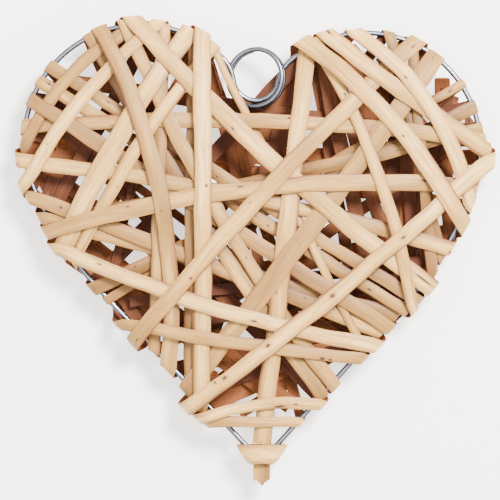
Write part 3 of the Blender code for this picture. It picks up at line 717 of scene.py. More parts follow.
# make the strips pass in front of the ring's raised side and behind its lowered side
def keepClearOfRing(winder, points):
    limb = hangingRing["wireDiameter"] / 2
    for start, end in zip(points, points[1:]):
        steps = max(int(np.linalg.norm(end - start) / windingCare["fineStep"]), 1)
        for share in np.linspace(0.0, 1.0, steps + 1):
            spot = start + (end - start) * share
            for dx in np.arange(-limb, limb + windingCare["fineStep"], windingCare["fineStep"]):
                place = spot[:2] + np.array([dx, 0.0])
                if spot[2] > -limb:
                    winder.front.cover(place, spot[2] + limb)
                if spot[2] < limb:
                    winder.back.cover(place, limb - spot[2])
    winder.front.settle()
    winder.back.settle()


dressing = {  # how the plain winding turns into real strips, in metres where not said
    "seed": 11,
    "sampleStep": 0.0017,  # between rows of points along a strip
    "columns": 11,  # points across it
    "cornerReach": 0.009,  # length over which a bend is eased
    "crown": 0.00090,  # middle of the outer face above the inner face of the solid
    "wrapCrown": 0.45,  # share of the crown that is left where a strip goes round the wire
    "edgeHeight": 0.28,  # share of the crown that is left at the edges
    "roundness": 2.5,  # 2 is an arc, more is flatter in the middle
    "belowMiddle": 0.00012,  # how far the flat side lies under the inner face of the solid
    "wood": 0.00115,  # most wood under the crown
    "sideDrift": (0.00030, 0.05),  # how far a strip wanders, and over which length
    "widthDrift": (0.07, 0.09),  # share, length
    "rollDrift": (0.07, 0.07),  # radians, length
    "crownDrift": (0.08, 0.12),  # share, length
    "skew": 0.15,  # share by which one side of the crown may be the higher one
    "mergeWithin": 0.0002,
    "leastStep": 0.0001,
    "bendStep": 9,  # degrees
    "smoothUnder": 50,  # degrees
    "frontAbove": 0.004,
    "grainStarts": 40.0,  # centimetres of grain from which a strip's start is picked
    "firstMark": (0.02, 0.10),  # share of the strip
    "smallMark": (0.0002, 0.0006),  # half its width
    "markStretch": (1.2, 3.5),  # length over width
    "markSideways": 0.6,  # share of the half width
    "marksApart": 0.02,
    "markSpacing": (0.03, 0.10),
    "marks": [  # strip, then px right of and above the picture's middle, and half width and length in mm
        (36, 83, -46, 0.9, 1.3), (36, 20, -98, 0.8, 1.2), (36, -21, -132, 0.7, 1.2),
        (36, -30, -140, 0.6, 1.0), (32, 107, 103, 1.0, 1.8), (32, 117, 72, 0.8, 1.2),
        (32, 124, 50, 0.6, 1.0), (32, 148, -29, 0.40, 5.0), (28, 75, -100, 0.7, 1.3),
        (28, 81, -101, 0.5, 0.9), (30, 29, -149, 0.6, 2.6), (30, 45, -152, 0.4, 0.8),
        (29, 35, -179, 0.5, 1.3), (24, 170, -31, 0.45, 4.5),
    ],
    "pixel": 0.000421,  # of the photo
    "pictureMiddle": (0.0459, -0.0456),  # from the left lobe's middle
    "toneInside": 0.98,  # tone of the innermost strips, 1 being the darkest wood; their darkness is partly painted shade, as they lie deepest
    "toneAndShadeFall": 0.80,  # how much paler the outermost ones are; partly painted shade that darkens the strips wound first, which lie deeper
    "toneSpread": 0.30,
    "shadeDepth": 0.010,  # depth under the weave's surface at which the painted shade is darkest
    "shadeBlur": 8,  # cells of the raster
    "shadeRounds": 4,
}


# the strip's middle line and the vectors to its edge, with every bend eased
def easedPath(sections):
    middles = []
    sides = []
    ups = []
    for rows in sections:
        first, second, outerFirst, outerSecond = [np.array(row) for row in rows]
        middles.append((first + second) / 2)
        sides.append((first - second) / 2)
        up = (outerFirst + outerSecond) / 2 - (first + second) / 2
        ups.append(up / np.linalg.norm(up))
    values = np.hstack([np.array(middles), np.array(sides), np.array(ups)])
    keep = [0]
    for number in range(1, len(values)):
        if np.linalg.norm(values[number, :3] - values[keep[-1], :3]) > dressing["mergeWithin"]:
            keep.append(number)
    values = values[keep]
    path = [values[0]]
    for before, here, after in zip(values, values[1:], values[2:]):
        lengthIn = np.linalg.norm(here[:3] - before[:3])
        lengthOut = np.linalg.norm(after[:3] - here[:3])
        shareIn = min(0.5, dressing["cornerReach"] / lengthIn)
        shareOut = min(0.5, dressing["cornerReach"] / lengthOut)
        start = here + (before - here) * shareIn
        end = here + (after - here) * shareOut
        cosine = float((here - before)[:3] @ (after - here)[:3]) / (lengthIn * lengthOut)
        turn = math.acos(max(-1.0, min(1.0, cosine)))
        pieces = max(3, int(math.degrees(turn) / dressing["bendStep"]) + 1)
        for t in np.linspace(0.0, 1.0, pieces + 1):
            path.append(start * (1 - t) ** 2 + here * 2 * t * (1 - t) + end * t * t)
    path.append(values[-1])
    dense = [path[0]]
    for before, here in zip(path, path[1:]):
        gapLength = np.linalg.norm(here[:3] - before[:3])
        if gapLength < dressing["leastStep"]:
            continue
        pieces = max(1, int(round(gapLength / dressing["sampleStep"])))
        for share in np.arange(1, pieces + 1) / pieces:
            dense.append(before + (here - before) * share)
    return np.array(dense)


# smooth random wander along a strip, about -1 to 1
def wander(rng, lengths, wave):
    total = np.zeros(len(lengths))
    for harmonic, weight in ((1.0, 0.6), (2.3, 0.3), (4.1, 0.15)):
        total += weight * np.sin(lengths / wave * harmonic * 2 * math.pi + rng.uniform(0, 2 * math.pi))
    return total


# a grid primitive with the given numbers of rows and columns, and each vertex's row and place across
def plainGrid(name, rows, columns):
    bpy.ops.object.select_all(action="DESELECT")
    bpy.ops.mesh.primitive_grid_add(x_subdivisions=rows - 1, y_subdivisions=columns - 1, size=2.0)
    piece = bpy.context.object
    piece.name = name
    piece.data.name = name
    flat = np.empty(len(piece.data.vertices) * 3)
    piece.data.vertices.foreach_get("co", flat)
    flat = flat.reshape(-1, 3)
    return piece, np.rint((flat[:, 0] + 1) / 2 * (rows - 1)).astype(int), flat[:, 1]


# a strip: a grid laid along its path and crowned across, then given its wood
def laidStrip(name, sections, width, number, rng, material):
    path = easedPath(sections)
    middles, sides, ups = path[:, :3], path[:, 3:6], path[:, 6:9]
    steps = np.linalg.norm(np.diff(middles, axis=0), axis=1)
    lengths = np.concatenate([[0.0], np.cumsum(steps)])
    tangents = np.gradient(middles, axis=0)
    tangents /= np.linalg.norm(tangents, axis=1)[:, None]
    sides = sides - tangents * np.sum(sides * tangents, axis=1)[:, None]
    sides /= np.linalg.norm(sides, axis=1)[:, None]
    outwards = np.cross(tangents, sides)
    outwards *= np.sign(np.sum(outwards * ups, axis=1))[:, None]
    sides = np.cross(outwards, tangents)

    def drift(name):
        size, wave = dressing[name]
        return size * wander(rng, lengths, wave)

    halfWidths = width / 2 * (1 + drift("widthDrift"))
    roll = drift("rollDrift")
    turnedSides = sides * np.cos(roll)[:, None] + outwards * np.sin(roll)[:, None]
    turnedOut = outwards * np.cos(roll)[:, None] - sides * np.sin(roll)[:, None]
    middles = middles + sides * drift("sideDrift")[:, None]
    flatter = dressing["wrapCrown"] + (1 - dressing["wrapCrown"]) * np.abs(outwards[:, 2])
    crown = dressing["crown"] * (1 + drift("crownDrift")) * flatter
    skew = rng.uniform(-dressing["skew"], dressing["skew"])

    piece, row, column = plainGrid(name, len(middles), dressing["columns"])
    mesh = piece.data
    across = np.sin(column * math.pi / 2)
    low = dressing["edgeHeight"]
    arch = low + (1 - low) * (1 - np.abs(across) ** dressing["roundness"])
    rise = crown[row] * arch * (1 + skew * across)
    sideways = turnedSides[row] * (halfWidths[row] * across)[:, None]
    places = middles[row] + sideways + turnedOut[row] * rise[:, None]
    mesh.vertices.foreach_set("co", places.ravel())

    wallGroup = piece.vertex_groups.new(name="wood")
    wood = np.clip((rise + dressing["belowMiddle"]) / dressing["wood"], 0.0, 1.0)
    for index, weight in enumerate(wood):
        wallGroup.add([index], float(weight), "REPLACE")
    wall = piece.modifiers.new("wood", "SOLIDIFY")
    wall.thickness = dressing["wood"]
    wall.offset = -1.0
    wall.vertex_group = "wood"
    bpy.ops.object.modifier_apply(modifier="wood")
    piece.vertex_groups.clear()
    markStrip(piece, number, rng, lengths, halfWidths, middles, row, across)
    mesh.materials.append(material)
    pointOutwards(piece)
    return piece


# faces outwards and smooth, with the cut ends left sharp
def pointOutwards(piece):
    bpy.ops.object.select_all(action="DESELECT")
    bpy.context.view_layer.objects.active = piece
    piece.select_set(True)
    bpy.ops.object.mode_set(mode="EDIT")
    bpy.ops.mesh.select_all(action="SELECT")
    bpy.ops.mesh.normals_make_consistent(inside=False)
    bpy.ops.object.mode_set(mode="OBJECT")
    bpy.ops.object.shade_smooth_by_angle(angle=math.radians(dressing["smoothUnder"]))
    piece.select_set(False)


# a number for each point, which a material reads
def addMask(mesh, name, values):
    values = np.array(values, dtype=np.float32)
    mesh.attributes.new(name, "FLOAT", "POINT").data.foreach_set("value", values)


def markWood(mesh, tone, under, edge):
    addMask(mesh, "stripTone", tone)
    addMask(mesh, "underside", under)
    addMask(mesh, "nearEdge", edge)


# one value of every item of a mesh's list
def readAll(items, name, kind):
    values = np.empty(len(items), dtype=kind)
    items.foreach_get(name, values)
    return values


# the strip's own maps: across and along it in centimetres, and round its nearest knot or crack
def markStrip(piece, number, rng, lengths, halfWidths, middles, row, across):
    mesh = piece.data
    offset = rng.uniform(0.0, dressing["grainStarts"])
    # the tone darkens from the outermost strips to the innermost, partly painted shade for the strips lying
    # deeper in the weave, with a random spread between strips
    toneValue = np.clip(dressing["toneInside"] - dressing["toneAndShadeFall"] * number / len(windingTable)
                        + rng.uniform(-1, 1) * dressing["toneSpread"], 0.0, 1.0)
    count = len(mesh.vertices)
    source = np.arange(count) % len(row)
    row, across = row[source], across[source]
    markWood(mesh, np.full(count, toneValue), np.arange(count) >= count / 2, np.abs(across))
    marks = []
    for owner, right, above, wide, long in dressing["marks"]:
        if owner == number:
            spot = pictureMiddle + np.array([right, above]) * dressing["pixel"]
            distance = np.linalg.norm(middles[:, :2] + stripShift[:2] - spot, axis=1)
            nearest = int(np.argmin(distance + (middles[:, 2] < dressing["frontAbove"])))
            ahead = middles[min(nearest + 1, len(middles) - 1)] - middles[nearest - 1]
            side = np.cross(ahead, (0, 0, 1))[:2]
            off = float((spot - middles[nearest, :2] - stripShift[:2]) @ side / np.linalg.norm(side))
            marks.append((lengths[nearest], off, wide / 1000, long / 1000))
    at = lengths[-1] * rng.uniform(*dressing["firstMark"])
    while at < lengths[-1]:
        wide = rng.uniform(*dressing["smallMark"])
        if all(abs(at - mark[0]) > dressing["marksApart"] for mark in marks):
            aside = rng.uniform(-dressing["markSideways"], dressing["markSideways"]) * halfWidths[0]
            marks.append((at, aside, wide, wide * rng.uniform(*dressing["markStretch"])))
        at += rng.uniform(*dressing["markSpacing"])
    marks = np.array(marks)
    loopVerts = readAll(mesh.loops, "vertex_index", np.int32)
    starts = readAll(mesh.polygons, "loop_start", np.int32)
    totals = readAll(mesh.polygons, "loop_total", np.int32)
    firstRow = np.minimum.reduceat(row[loopVerts], starts)
    nearest = np.abs(lengths[firstRow][:, None] - marks[:, 0]).argmin(axis=1)
    mark = marks[np.repeat(nearest, totals)]
    sideways = across[loopVerts] * halfWidths[row[loopVerts]]
    lengthwise = lengths[row[loopVerts]]
    grain = mesh.uv_layers[0]
    grain.name = "grain"
    grain.data.foreach_set("uv", np.column_stack([sideways * 100, lengthwise * 100 + offset]).ravel())
    knot = mesh.uv_layers.new(name="knot")
    knot.data.foreach_set("uv", np.column_stack([
        (sideways - mark[:, 1]) / mark[:, 2], (lengthwise - mark[:, 0]) / mark[:, 3]]).ravel())


def addSocket(group, name, kind):
    return group.interface.new_socket(name, in_out="OUTPUT", socket_type=kind)


# a node set down in rows in the order it is made
def newNode(tree, kind, **values):
    node = tree.nodes.new(kind)
    row, column = divmod(len(tree.nodes), nodeLayout["perRow"])
    node.location = (column * nodeLayout["across"] - nodeLayout["left"], row * nodeLayout["down"])
    for key, value in values.items():
        setattr(node, key, value)
    return node


nodeLayout = {"perRow": 12, "across": 190, "down": -320, "left": 2600}


# a plain number, a colour or another node's output into one input
def feed(tree, value, entry):
    if isinstance(value, (int, float)):
        entry.default_value = value
    elif isinstance(value, tuple):
        entry.default_value = (*value, 1.0)
    else:
        tree.links.new(value, entry)


# noise stretched along a strip, from how fine it is across and along it and its detail
def stretchedNoise(tree, source, fineness):
    across, along, detail = fineness
    mapping = newNode(tree, "ShaderNodeMapping")
    mapping.inputs["Scale"].default_value = (across, along, 1.0)
    noise = newNode(tree, "ShaderNodeTexNoise")
    noise.inputs["Scale"].default_value = 1.0
    noise.inputs["Detail"].default_value = detail
    tree.links.new(source, mapping.inputs["Vector"])
    tree.links.new(mapping.outputs["Vector"], noise.inputs["Vector"])
    return noise.outputs["Fac"]


def ramp(tree, source, stops):
    node = newNode(tree, "ShaderNodeValToRGB")
    while len(node.color_ramp.elements) < len(stops):
        node.color_ramp.elements.new(0.5)
    for element, (position, colour) in zip(node.color_ramp.elements, stops):
        element.position = position
        element.color = (*colour, 1.0)
    tree.links.new(source, node.inputs["Fac"])
    return node.outputs["Color"]


# black up to one value and white from another
def between(tree, source, dark, light):
    black, white = (0, 0, 0), (1, 1, 1)
    if dark > light:
        return ramp(tree, source, [(light, white), (dark, black)])
    return ramp(tree, source, [(dark, black), (light, white)])


def mixColour(tree, factor, first, second, blend="MIX"):
    node = newNode(tree, "ShaderNodeMix", data_type="RGBA", blend_type=blend)
    for value, index in ((factor, 0), (first, 6), (second, 7)):
        feed(tree, value, node.inputs[index])
    return node.outputs[2]


def maths(tree, operation, first, second):
    node = newNode(tree, "ShaderNodeMath", operation=operation)
    feed(tree, first, node.inputs[0])
    feed(tree, second, node.inputs[1])
    return node.outputs[0]


def times(tree, first, second):
    return maths(tree, "MULTIPLY", first, second)


def plus(tree, first, second):
    return maths(tree, "ADD", first, second)


willowLooks = {
    "tones": [  # from pinkish to yellowish and olive peeled wood, as the strips differ; the darkest stops, which the inner strips reach, are partly painted shade
        (0.0, (0.97, 0.60, 0.20)),
        (0.30, (0.76, 0.43, 0.115)),
        (0.62, (0.44, 0.23, 0.052)),
        (1.0, (0.22, 0.105, 0.022)),
    ],
    "streak": (0.22, 0.085, 0.024),
    "inner": (0.27, 0.078, 0.016),
    "innerDark": (0.080, 0.018, 0.004),
    "innerRange": (0.30, 0.85),
    "paintedShade": (0.36, 0.26, 0.17),  # painted shade: what the wood is multiplied by deep in the weave
    "knot": (0.05, 0.018, 0.008),
    "halo": (0.24, 0.09, 0.03),
    # a browner tint along both edges of a strip, partly the wood's own colour and partly painted shade where
    # the crown turns away from the light
    "edge": (0.33, 0.15, 0.034),
    "bark": (0.12, 0.032, 0.010),
    "fineGrain": (26.0, 0.9, 4.0),  # per centimetre across and along, and detail
    "broadGrain": (6.0, 0.22, 3.0),
    "clouds": (1.3, 0.16, 2.0),
    "specks": (18.0, 6.0, 2.0),
    "toneDrift": 1.7,
    "strengths": {
        "broad": 0.58, "fine": 0.55, "edge": 0.75, "bark": 0.70, "speck": 0.5, "innerGrain": 0.70,
        "paintedShade": 0.90, "inner": 0.97, "halo": 0.6, "knot": 0.92,
    },
    "masks": {  # where each begins and where it is full
        "broad": (0.52, 0.72), "fine": (0.46, 0.70), "edge": (0.25, 1.0), "bark": (0.92, 1.02),
        "speck": (0.64, 0.72), "paintedShade": (0.05, 0.42), "knot": (0.40, 0.26), "halo": (0.85, 0.30),
    },
    "roughness": (0.36, 0.30, 0.25),  # least, more by the grain, more inside
    "relief": (-0.6, -0.5, 0.5),  # of the fine grain, the broad grain and the knots
    "bump": (0.55, 0.0003),  # strength, depth in metres
    "specular": 0.35,
}


# peeled willow: fine fibres along the strip, mottling, knots with a darker ring, a browner inner side,
# painted shade deep in the weave, and a browner edge tint that is partly painted shade
def willowGrain():
    looks = willowLooks
    strength = looks["strengths"]
    group = bpy.data.node_groups.new("willowGrain", "ShaderNodeTree")
    addSocket(group, "Colour", "NodeSocketColor")
    addSocket(group, "Roughness", "NodeSocketFloat")
    addSocket(group, "Height", "NodeSocketFloat")
    result = newNode(group, "NodeGroupOutput")
    grainMap = newNode(group, "ShaderNodeUVMap", uv_map="grain").outputs["UV"]
    knotMap = newNode(group, "ShaderNodeUVMap", uv_map="knot").outputs["UV"]
    tone, under, edge, paintedWeaveShade = [
        newNode(group, "ShaderNodeAttribute", attribute_name=name).outputs["Fac"]
        for name in ("stripTone", "underside", "nearEdge", "paintedWeaveShade")]
    fine, broad, cloud, speck = [
        stretchedNoise(group, grainMap, looks[name])
        for name in ("fineGrain", "broadGrain", "clouds", "specks")]

    def mask(name, source):
        return between(group, source, *looks["masks"][name])

    def tint(body, name, where, colour, blend="MIX"):
        return mixColour(group, times(group, where, strength[name]), body, colour, blend)

    drift = maths(group, "SUBTRACT", cloud, 0.5)
    body = ramp(group, plus(group, tone, times(group, drift, looks["toneDrift"])), looks["tones"])
    body = tint(body, "broad", mask("broad", broad), looks["streak"])
    fineMask = mask("fine", fine)
    body = tint(body, "fine", fineMask, looks["streak"])
    # browner towards the edges: partly the wood's own colour, partly painted shade on the crown's falling
    # sides
    body = tint(body, "edge", mask("edge", edge), looks["edge"])
    ragged = times(group, maths(group, "SUBTRACT", broad, 0.5), 0.30)
    barkAt = plus(group, plus(group, edge, ragged), times(group, drift, 1.1))
    body = tint(body, "bark", mask("bark", barkAt), looks["bark"])
    body = tint(body, "speck", mask("speck", speck), looks["knot"])
    # painted shade: the wood is darkened the deeper it lies under the weave's surface
    body = tint(body, "paintedShade", mask("paintedShade", paintedWeaveShade), looks["paintedShade"], "MULTIPLY")

    # the browner inner side is the wood's own colour; it goes darker with the strip's tone, so on the inner
    # strips it is partly painted shade
    innerShade = plus(group, times(group, tone, 0.75), times(group, broad, 0.5))
    lit, shaded = looks["innerRange"]
    inner = ramp(group, innerShade, [(lit, looks["inner"]), (shaded, looks["innerDark"])])
    inner = tint(inner, "innerGrain", fineMask, looks["innerDark"])
    body = tint(body, "inner", under, inner)

    # a dark eye with a paler ring, drawn out along the grain
    length = newNode(group, "ShaderNodeVectorMath", operation="LENGTH")
    group.links.new(knotMap, length.inputs[0])
    torn = times(group, maths(group, "SUBTRACT", fine, 0.5), 0.9)
    near = times(group, plus(group, length.outputs["Value"], torn), 0.4)
    knotMask = mask("knot", near)
    body = tint(body, "halo", mask("halo", near), looks["halo"])
    body = tint(body, "knot", knotMask, looks["knot"])
    group.links.new(body, result.inputs["Colour"])

    least, byGrain, inside = looks["roughness"]
    rough = plus(group, times(group, fine, byGrain), least)
    group.links.new(plus(group, rough, times(group, under, inside)), result.inputs["Roughness"])
    fineRelief, broadRelief, knotRelief = looks["relief"]
    height = plus(group, times(group, fine, fineRelief), times(group, broad, broadRelief))
    height = maths(group, "SUBTRACT", height, times(group, knotMask, knotRelief))
    group.links.new(height, result.inputs["Height"])
    return group


def bumpFrom(tree, height, strength, distance):
    bump = newNode(tree, "ShaderNodeBump")
    bump.inputs["Strength"].default_value = strength
    bump.inputs["Distance"].default_value = distance
    tree.links.new(height, bump.inputs["Height"])
    tree.links.new(bump.outputs["Normal"], tree.nodes["Principled BSDF"].inputs["Normal"])


def newMaterial(name):
    material = bpy.data.materials.new(name)
    material.use_nodes = True
    return material, material.node_tree, material.node_tree.nodes["Principled BSDF"].inputs


def willowMaterial(group):
    material, tree, inputs = newMaterial("peeledWillow")
    grain = newNode(tree, "ShaderNodeGroup", node_tree=group)
    tree.links.new(grain.outputs["Colour"], inputs["Base Color"])
    tree.links.new(grain.outputs["Roughness"], inputs["Roughness"])
    inputs["Specular IOR Level"].default_value = willowLooks["specular"]
    bumpFrom(tree, grain.outputs["Height"], *willowLooks["bump"])
    return material


steelLooks = {
    "paintedShine": [  # painted reflection: dark at the sides of the wire, bright along the line of its top
        (0.0, (0.010, 0.010, 0.014)),
        (0.60, (0.025, 0.025, 0.034)),
        (0.86, (0.11, 0.11, 0.135)),
        (1.0, (0.33, 0.33, 0.37)),
    ],
    "roundSteps": 6,  # of a quarter of the wire
    "metallic": 0.9,
    "tarnish": (0.16, 0.16, 0.18),
    "tarnishStrength": 0.55,
    "tarnishRange": (0.50, 0.72),
    "mottle": 260.0,
    "roughness": [(0.3, (0.22, 0.22, 0.22)), (0.75, (0.42, 0.42, 0.42))],
    "bump": (0.25, 0.0001),
}


# drawn steel with a painted highlight along its top and painted shade towards its sides, faintly mottled
def steelMaterial():
    looks = steelLooks
    material, tree, inputs = newMaterial("drawnSteel")
    inputs["Metallic"].default_value = looks["metallic"]
    mottle = newNode(tree, "ShaderNodeTexNoise")
    mottle.inputs["Scale"].default_value = looks["mottle"]
    mottle.inputs["Detail"].default_value = 4.0
    tree.links.new(newNode(tree, "ShaderNodeTexCoord").outputs["Object"], mottle.inputs["Vector"])
    mottled = mottle.outputs["Fac"]
    upwards = newNode(tree, "ShaderNodeAttribute", attribute_name="facesUp").outputs["Fac"]
    spots = times(tree, between(tree, mottled, *looks["tarnishRange"]), looks["tarnishStrength"])
    # painted highlight along the wire's top and painted shade at its sides, with tarnish spots over them
    colour = mixColour(tree, spots, ramp(tree, upwards, looks["paintedShine"]), looks["tarnish"])
    tree.links.new(colour, inputs["Base Color"])
    tree.links.new(ramp(tree, mottled, looks["roughness"]), inputs["Roughness"])
    bumpFrom(tree, mottled, *looks["bump"])
    return material


# a round wire along a line of points, as a curve turned into a mesh
def wireTube(name, points, diameter, cyclic, material):
    curve = bpy.data.curves.new(name, "CURVE")
    curve.dimensions = "3D"
    curve.bevel_depth = diameter / 2
    curve.bevel_resolution = steelLooks["roundSteps"]
    curve.use_fill_caps = not cyclic
    spline = curve.splines.new("POLY")
    spline.points.add(len(points) - 1)
    for control, point in zip(spline.points, points):
        control.co = (*[float(value) for value in point], 1.0)
    spline.use_cyclic_u = cyclic
    drawn = bpy.data.objects.new(name, curve)
    bpy.context.scene.collection.objects.link(drawn)
    bpy.context.view_layer.objects.active = drawn
    drawn.select_set(True)
    bpy.ops.object.convert(target="MESH")
    piece = bpy.context.view_layer.objects.active
    piece.data.materials.clear()
    piece.data.materials.append(material)
    pointOutwards(piece)
    # how far each point faces up, which places the painted highlight and shade on the steel
    addMask(piece.data, "facesUp", [abs(vert.normal.z) for vert in piece.data.vertices])
    return piece


def settle(piece, node):
    for vert in piece.data.vertices:
        vert.co += Vector(stripShift)
    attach(piece, "root")
    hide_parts(node)


wire = HeartWire()
tipLow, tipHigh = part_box("tip_wrap")
tipMiddle = (np.array(tipLow) + np.array(tipHigh)) / 2
capMiddle = wire.tip[1] - tipWrap["belowTip"] + tipWrap["height"] / 2
stripShift = tipMiddle - np.array([wire.tip[0], capMiddle, 0.0])
pictureMiddle = stripShift[:2] + np.array(dressing["pictureMiddle"])
print("frame shift", stripShift)

willow = willowMaterial(willowGrain())
steel = steelMaterial()

wirePlan = wire.points[::heartWire["drawnEvery"]]
wirePoints = np.column_stack([wirePlan, np.zeros(len(wirePlan))])
settle(wireTube("shapedWire", wirePoints, heartWire["wireDiameter"], True, steel), "heart_wire")

ringPoints = ringLine(wire)
winder = Winder(wire)
keepClearOfRing(winder, ringPoints)


# the coil again, with many more points
def smoothCoil(points, between):
    fine = []
    count = len(points)
    for number in range(count - 1):
        p0 = points[max(number - 1, 0)]
        p1, p2 = points[number], points[number + 1]
        p3 = points[min(number + 2, count - 1)]
        for step in range(between):
            t = step / between
            fine.append(0.5 * ((2 * p1) + (p2 - p0) * t + (2 * p0 - 5 * p1 + 4 * p2 - p3) * t * t
                               + (3 * p1 - p0 - 3 * p2 + p3) * t ** 3))
    fine.append(points[-1])
    return fine


ringWire = smoothCoil(ringPoints, hangingRing["smoothSteps"])
ring = wireTube("splitRing", ringWire, hangingRing["wireDiameter"], False, steel)
settle(ring, "hanging_ring")
print("wire and ring made")

rng = np.random.default_rng(dressing["seed"])
restHeight = None
strips = []
for number, (start, end, width, bow, turn) in enumerate(windingTable, start=1):
    level = None
    if number in restingRuns:
        if restHeight is None:
            layer = willowStrips["thickness"] + willowStrips["gap"]
            restHeight = float(winder.back.top.max()) + willowStrips["restLayers"] * layer
        level = (*restingRuns[number], restHeight)
    if end > willowStrips["tipHoldFrom"]:
        sections = layTipStrip(winder, start, width * tableStep)
    else:
        bends = (width * tableStep, bow * tableStep, math.radians(turn))
        sections = windStrip(winder, start, end, *bends, level)
    piece = laidStrip(f"willowStrip{number:02d}", sections, width * tableStep, number, rng, willow)
    settle(piece, f"willow_strip_{number:02d}")
    strips.append(piece)


# how deep each point lies under the surface of the weave, seen from the side it faces, for the painted shade
# that darkens the wood lying deep in the weave
def shadeStrips(strips):
    surfaces = []
    for pile in (winder.front, winder.back):
        surface = pile.top.copy()
        reach = dressing["shadeBlur"]
        for turn in range(dressing["shadeRounds"]):
            moved = [np.roll(surface, shift, axis=axis) for shift in (reach, -reach) for axis in (0, 1)]
            surface = (surface + sum(moved)) / (len(moved) + 1)
        surfaces.append(surface)
    for piece in strips:
        mesh = piece.data
        places = np.empty(len(mesh.vertices) * 3)
        mesh.vertices.foreach_get("co", places)
        places = places.reshape(-1, 3) - stripShift
        inner = readAll(mesh.attributes["underside"].data, "value", np.float32)
        frontwards = (places[:, 2] > 0) != (inner > 0.5)
        rows, columns = winder.front.cells(places[:, :2])
        above = np.where(frontwards, surfaces[0][rows, columns] - places[:, 2],
                         surfaces[1][rows, columns] + places[:, 2])
        addMask(mesh, "paintedWeaveShade", np.clip(above / dressing["shadeDepth"], 0.0, 1.0))


shadeStrips(strips)
print("strips wound")

tipLooks = {
    "turns": 1.3,
    "columns": 60,
    "rows": 10,
    "topHalf": 0.0105,
    "bottomHalf": 0.0040,
    "bowl": 0.62,  # under 1 its sides bulge, over 1 they curve in
    "wall": 0.0009,
    "overlap": 0.08,  # share that the outer turn stands out
    "endRound": 0.0005,
    "endWidening": 1.26,
    "endTuck": 0.0016,  # how far the ends reach up into the cap
    "endCuts": 5,
    "endRagged": 0.10,  # share of its length
    "endNarrowing": 0.10,
    "seamTurn": -0.30 * math.pi,
    "footDepth": 0.86,  # share of the depth at the top
    "capTone": 0.30,
    # how far the cap's top and bottom count as edges, for the edge tint that is partly painted shade, and
    # for the bark
    "capEdge": 0.9,
    "grainShift": 17,  # centimetres of grain between two tones
}


# wood maps for a piece that isn't wound: across and along it in metres for each point
def mapAsWood(piece, across, along, tone, edges):
    mesh = piece.data
    markWood(mesh, np.full(len(mesh.vertices), tone), np.zeros(len(mesh.vertices)), edges)
    while len(mesh.uv_layers) > 0:
        mesh.uv_layers.remove(mesh.uv_layers[0])
    grain = mesh.uv_layers.new(name="grain")
    knot = mesh.uv_layers.new(name="knot")
    for loop in mesh.loops:
        point = loop.vertex_index
        grain.data[loop.index].uv = (across[point] * 100, along[point] * 100 + tipLooks["grainShift"] * tone)
        knot.data[loop.index].uv = (50.0, 50.0)  # far from any knot


def tipCap(material):
    looks = tipLooks
    height = tipWrap["height"]
    foot = wire.tip[1] - tipWrap["belowTip"]
    top, bottom = looks["topHalf"], looks["bottomHalf"]
    piece, column, level = plainGrid("tipCap", looks["columns"] + 1, looks["rows"])
    share = (level + 1) / 2
    turned = looks["turns"] * 2 * math.pi * column / looks["columns"]
    angle = looks["seamTurn"] - turned
    grown = 1.0 - looks["overlap"] + looks["overlap"] * column / looks["columns"]
    half = bottom + (top - bottom) * share ** looks["bowl"]
    depth = tipWrap["depth"] / 2 * (looks["footDepth"] + (1 - looks["footDepth"]) * share)
    places = np.column_stack([
        wire.tip[0] + half * grown * np.cos(angle), foot + height * share, -depth * grown * np.sin(angle)])
    piece.data.vertices.foreach_set("co", places.ravel())
    piece.data.materials.append(material)
    mapAsWood(piece, height * share, turned * top, looks["capTone"], np.abs(level) * looks["capEdge"])
    wall = piece.modifiers.new("wall", "SOLIDIFY")
    wall.thickness = looks["wall"]
    wall.offset = -1.0
    bpy.ops.object.modifier_apply(modifier="wall")
    pointOutwards(piece)
    return piece


def tipEnd(number, material):
    low, high = [np.array(corner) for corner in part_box(f"tip_end_{number}")]
    size = high - low
    bpy.ops.object.select_all(action="DESELECT")
    bpy.ops.mesh.primitive_cube_add(size=1.0)
    piece = bpy.context.object
    piece.name = f"cutEnd{number}"
    piece.data.name = piece.name
    bpy.ops.object.mode_set(mode="EDIT")
    bpy.ops.mesh.select_all(action="SELECT")
    bpy.ops.mesh.subdivide(number_cuts=tipLooks["endCuts"])
    bpy.ops.object.mode_set(mode="OBJECT")
    middle = (low + high) / 2 - stripShift
    for vert in piece.data.vertices:
        place = np.array(vert.co[:])
        ragged = tipLooks["endRagged"] * math.sin(place[0] * 5 + number * 2.1) * (place[1] < -0.3)
        narrow = 1.0 - tipLooks["endNarrowing"] * (0.5 - place[1]) * math.cos(place[2] * 3)
        tucked = tipLooks["endTuck"] * (place[1] > 0.4)
        vert.co = Vector((place[0] * size[0] * narrow * tipLooks["endWidening"] + middle[0],
                          (place[1] + ragged) * size[1] + middle[1] + tucked,
                          place[2] * size[2] * narrow + middle[2]))
    bevel = piece.modifiers.new("round", "BEVEL")
    bevel.width = tipLooks["endRound"]
    bevel.segments = 3
    bevel.limit_method = "ANGLE"
    bpy.ops.object.modifier_apply(modifier="round")
    points = [vert.co for vert in piece.data.vertices]
    mapAsWood(piece, [p.x + p.z for p in points], [p.y for p in points], 0.2 + 0.25 * number,
              [0.3 + 0.6 * (p.y < middle[1] - size[1] * 0.47) for p in points])
    piece.data.materials.append(material)
    pointOutwards(piece)
    return piece


settle(tipCap(willow), "tip_wrap")
for number in (1, 2, 3):
    settle(tipEnd(number, willow), f"tip_end_{number}")
print("tip made")

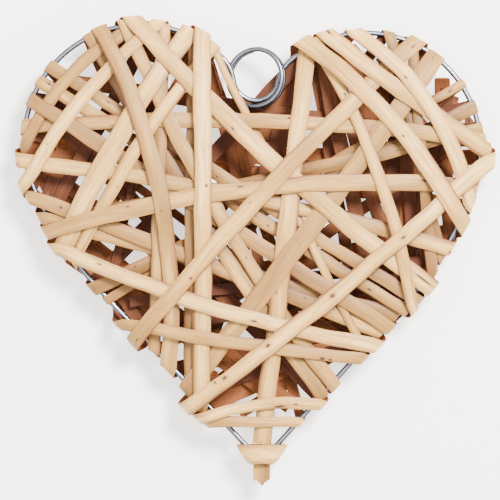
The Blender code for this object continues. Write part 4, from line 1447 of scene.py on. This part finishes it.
stageSizes = {
    "world": 1.8,
    "floorPale": 0.95,
    "floorRoughness": 0.9,
    "floorGlow": 1.2,
    "floor": 6.0,
    "cameraHeight": 1.9,  # above the heart's wire
    "wireHeight": 0.016,
    "pictureWidth": 0.2105,
    "sensor": 36.0,
    "lights": {  # place, size in metres, watts and tint
        "keyLight": ((0.50, 0.62, 1.2), 0.45, 72.0, (1.0, 0.99, 0.96)),
        "fillLight": ((-0.5, -0.1, 1.4), 0.9, 5.0, (0.98, 0.99, 1.0)),
    },
}
bpy.ops.mesh.primitive_plane_add(size=stageSizes["floor"], location=(0, 0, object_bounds()[0][2]))
floor = bpy.context.object
floor.name = "floor"
paper, paperTree, paperInputs = newMaterial("palePaper")
paperInputs["Base Color"].default_value = (*[stageSizes["floorPale"]] * 3, 1.0)
paperInputs["Roughness"].default_value = stageSizes["floorRoughness"]
paperInputs["Emission Color"].default_value = (1.0, 1.0, 1.0, 1.0)
paperInputs["Emission Strength"].default_value = stageSizes["floorGlow"]
floor.data.materials.append(paper)

world = bpy.context.scene.world or bpy.data.worlds.new("studio")
bpy.context.scene.world = world
world.use_nodes = True
world.node_tree.nodes["Background"].inputs["Color"].default_value = (1.0, 1.0, 1.0, 1.0)
world.node_tree.nodes["Background"].inputs["Strength"].default_value = stageSizes["world"]


def softLight(name, place, size, energy, tint):
    light = bpy.data.lights.new(name, "AREA")
    light.shape = "DISK"
    light.size = size
    light.energy = energy
    light.color = tint
    lamp = bpy.data.objects.new(name, light)
    bpy.context.scene.collection.objects.link(lamp)
    lamp.location = place
    lamp.rotation_euler = (Vector((0, 0, 0)) - Vector(place)).to_track_quat("-Z", "Y").to_euler()


for name, (place, size, energy, tint) in stageSizes["lights"].items():
    softLight(name, place, size, energy, tint)

camera = bpy.data.cameras.new("camera")
camera.sensor_width = stageSizes["sensor"]
camera.lens = stageSizes["sensor"] * stageSizes["cameraHeight"] / stageSizes["pictureWidth"]
cameraObject = bpy.data.objects.new("camera", camera)
bpy.context.scene.collection.objects.link(cameraObject)
cameraObject.location = (*pictureMiddle, stageSizes["cameraHeight"] + stageSizes["wireHeight"])
bpy.context.scene.camera = cameraObject
print("stage set")
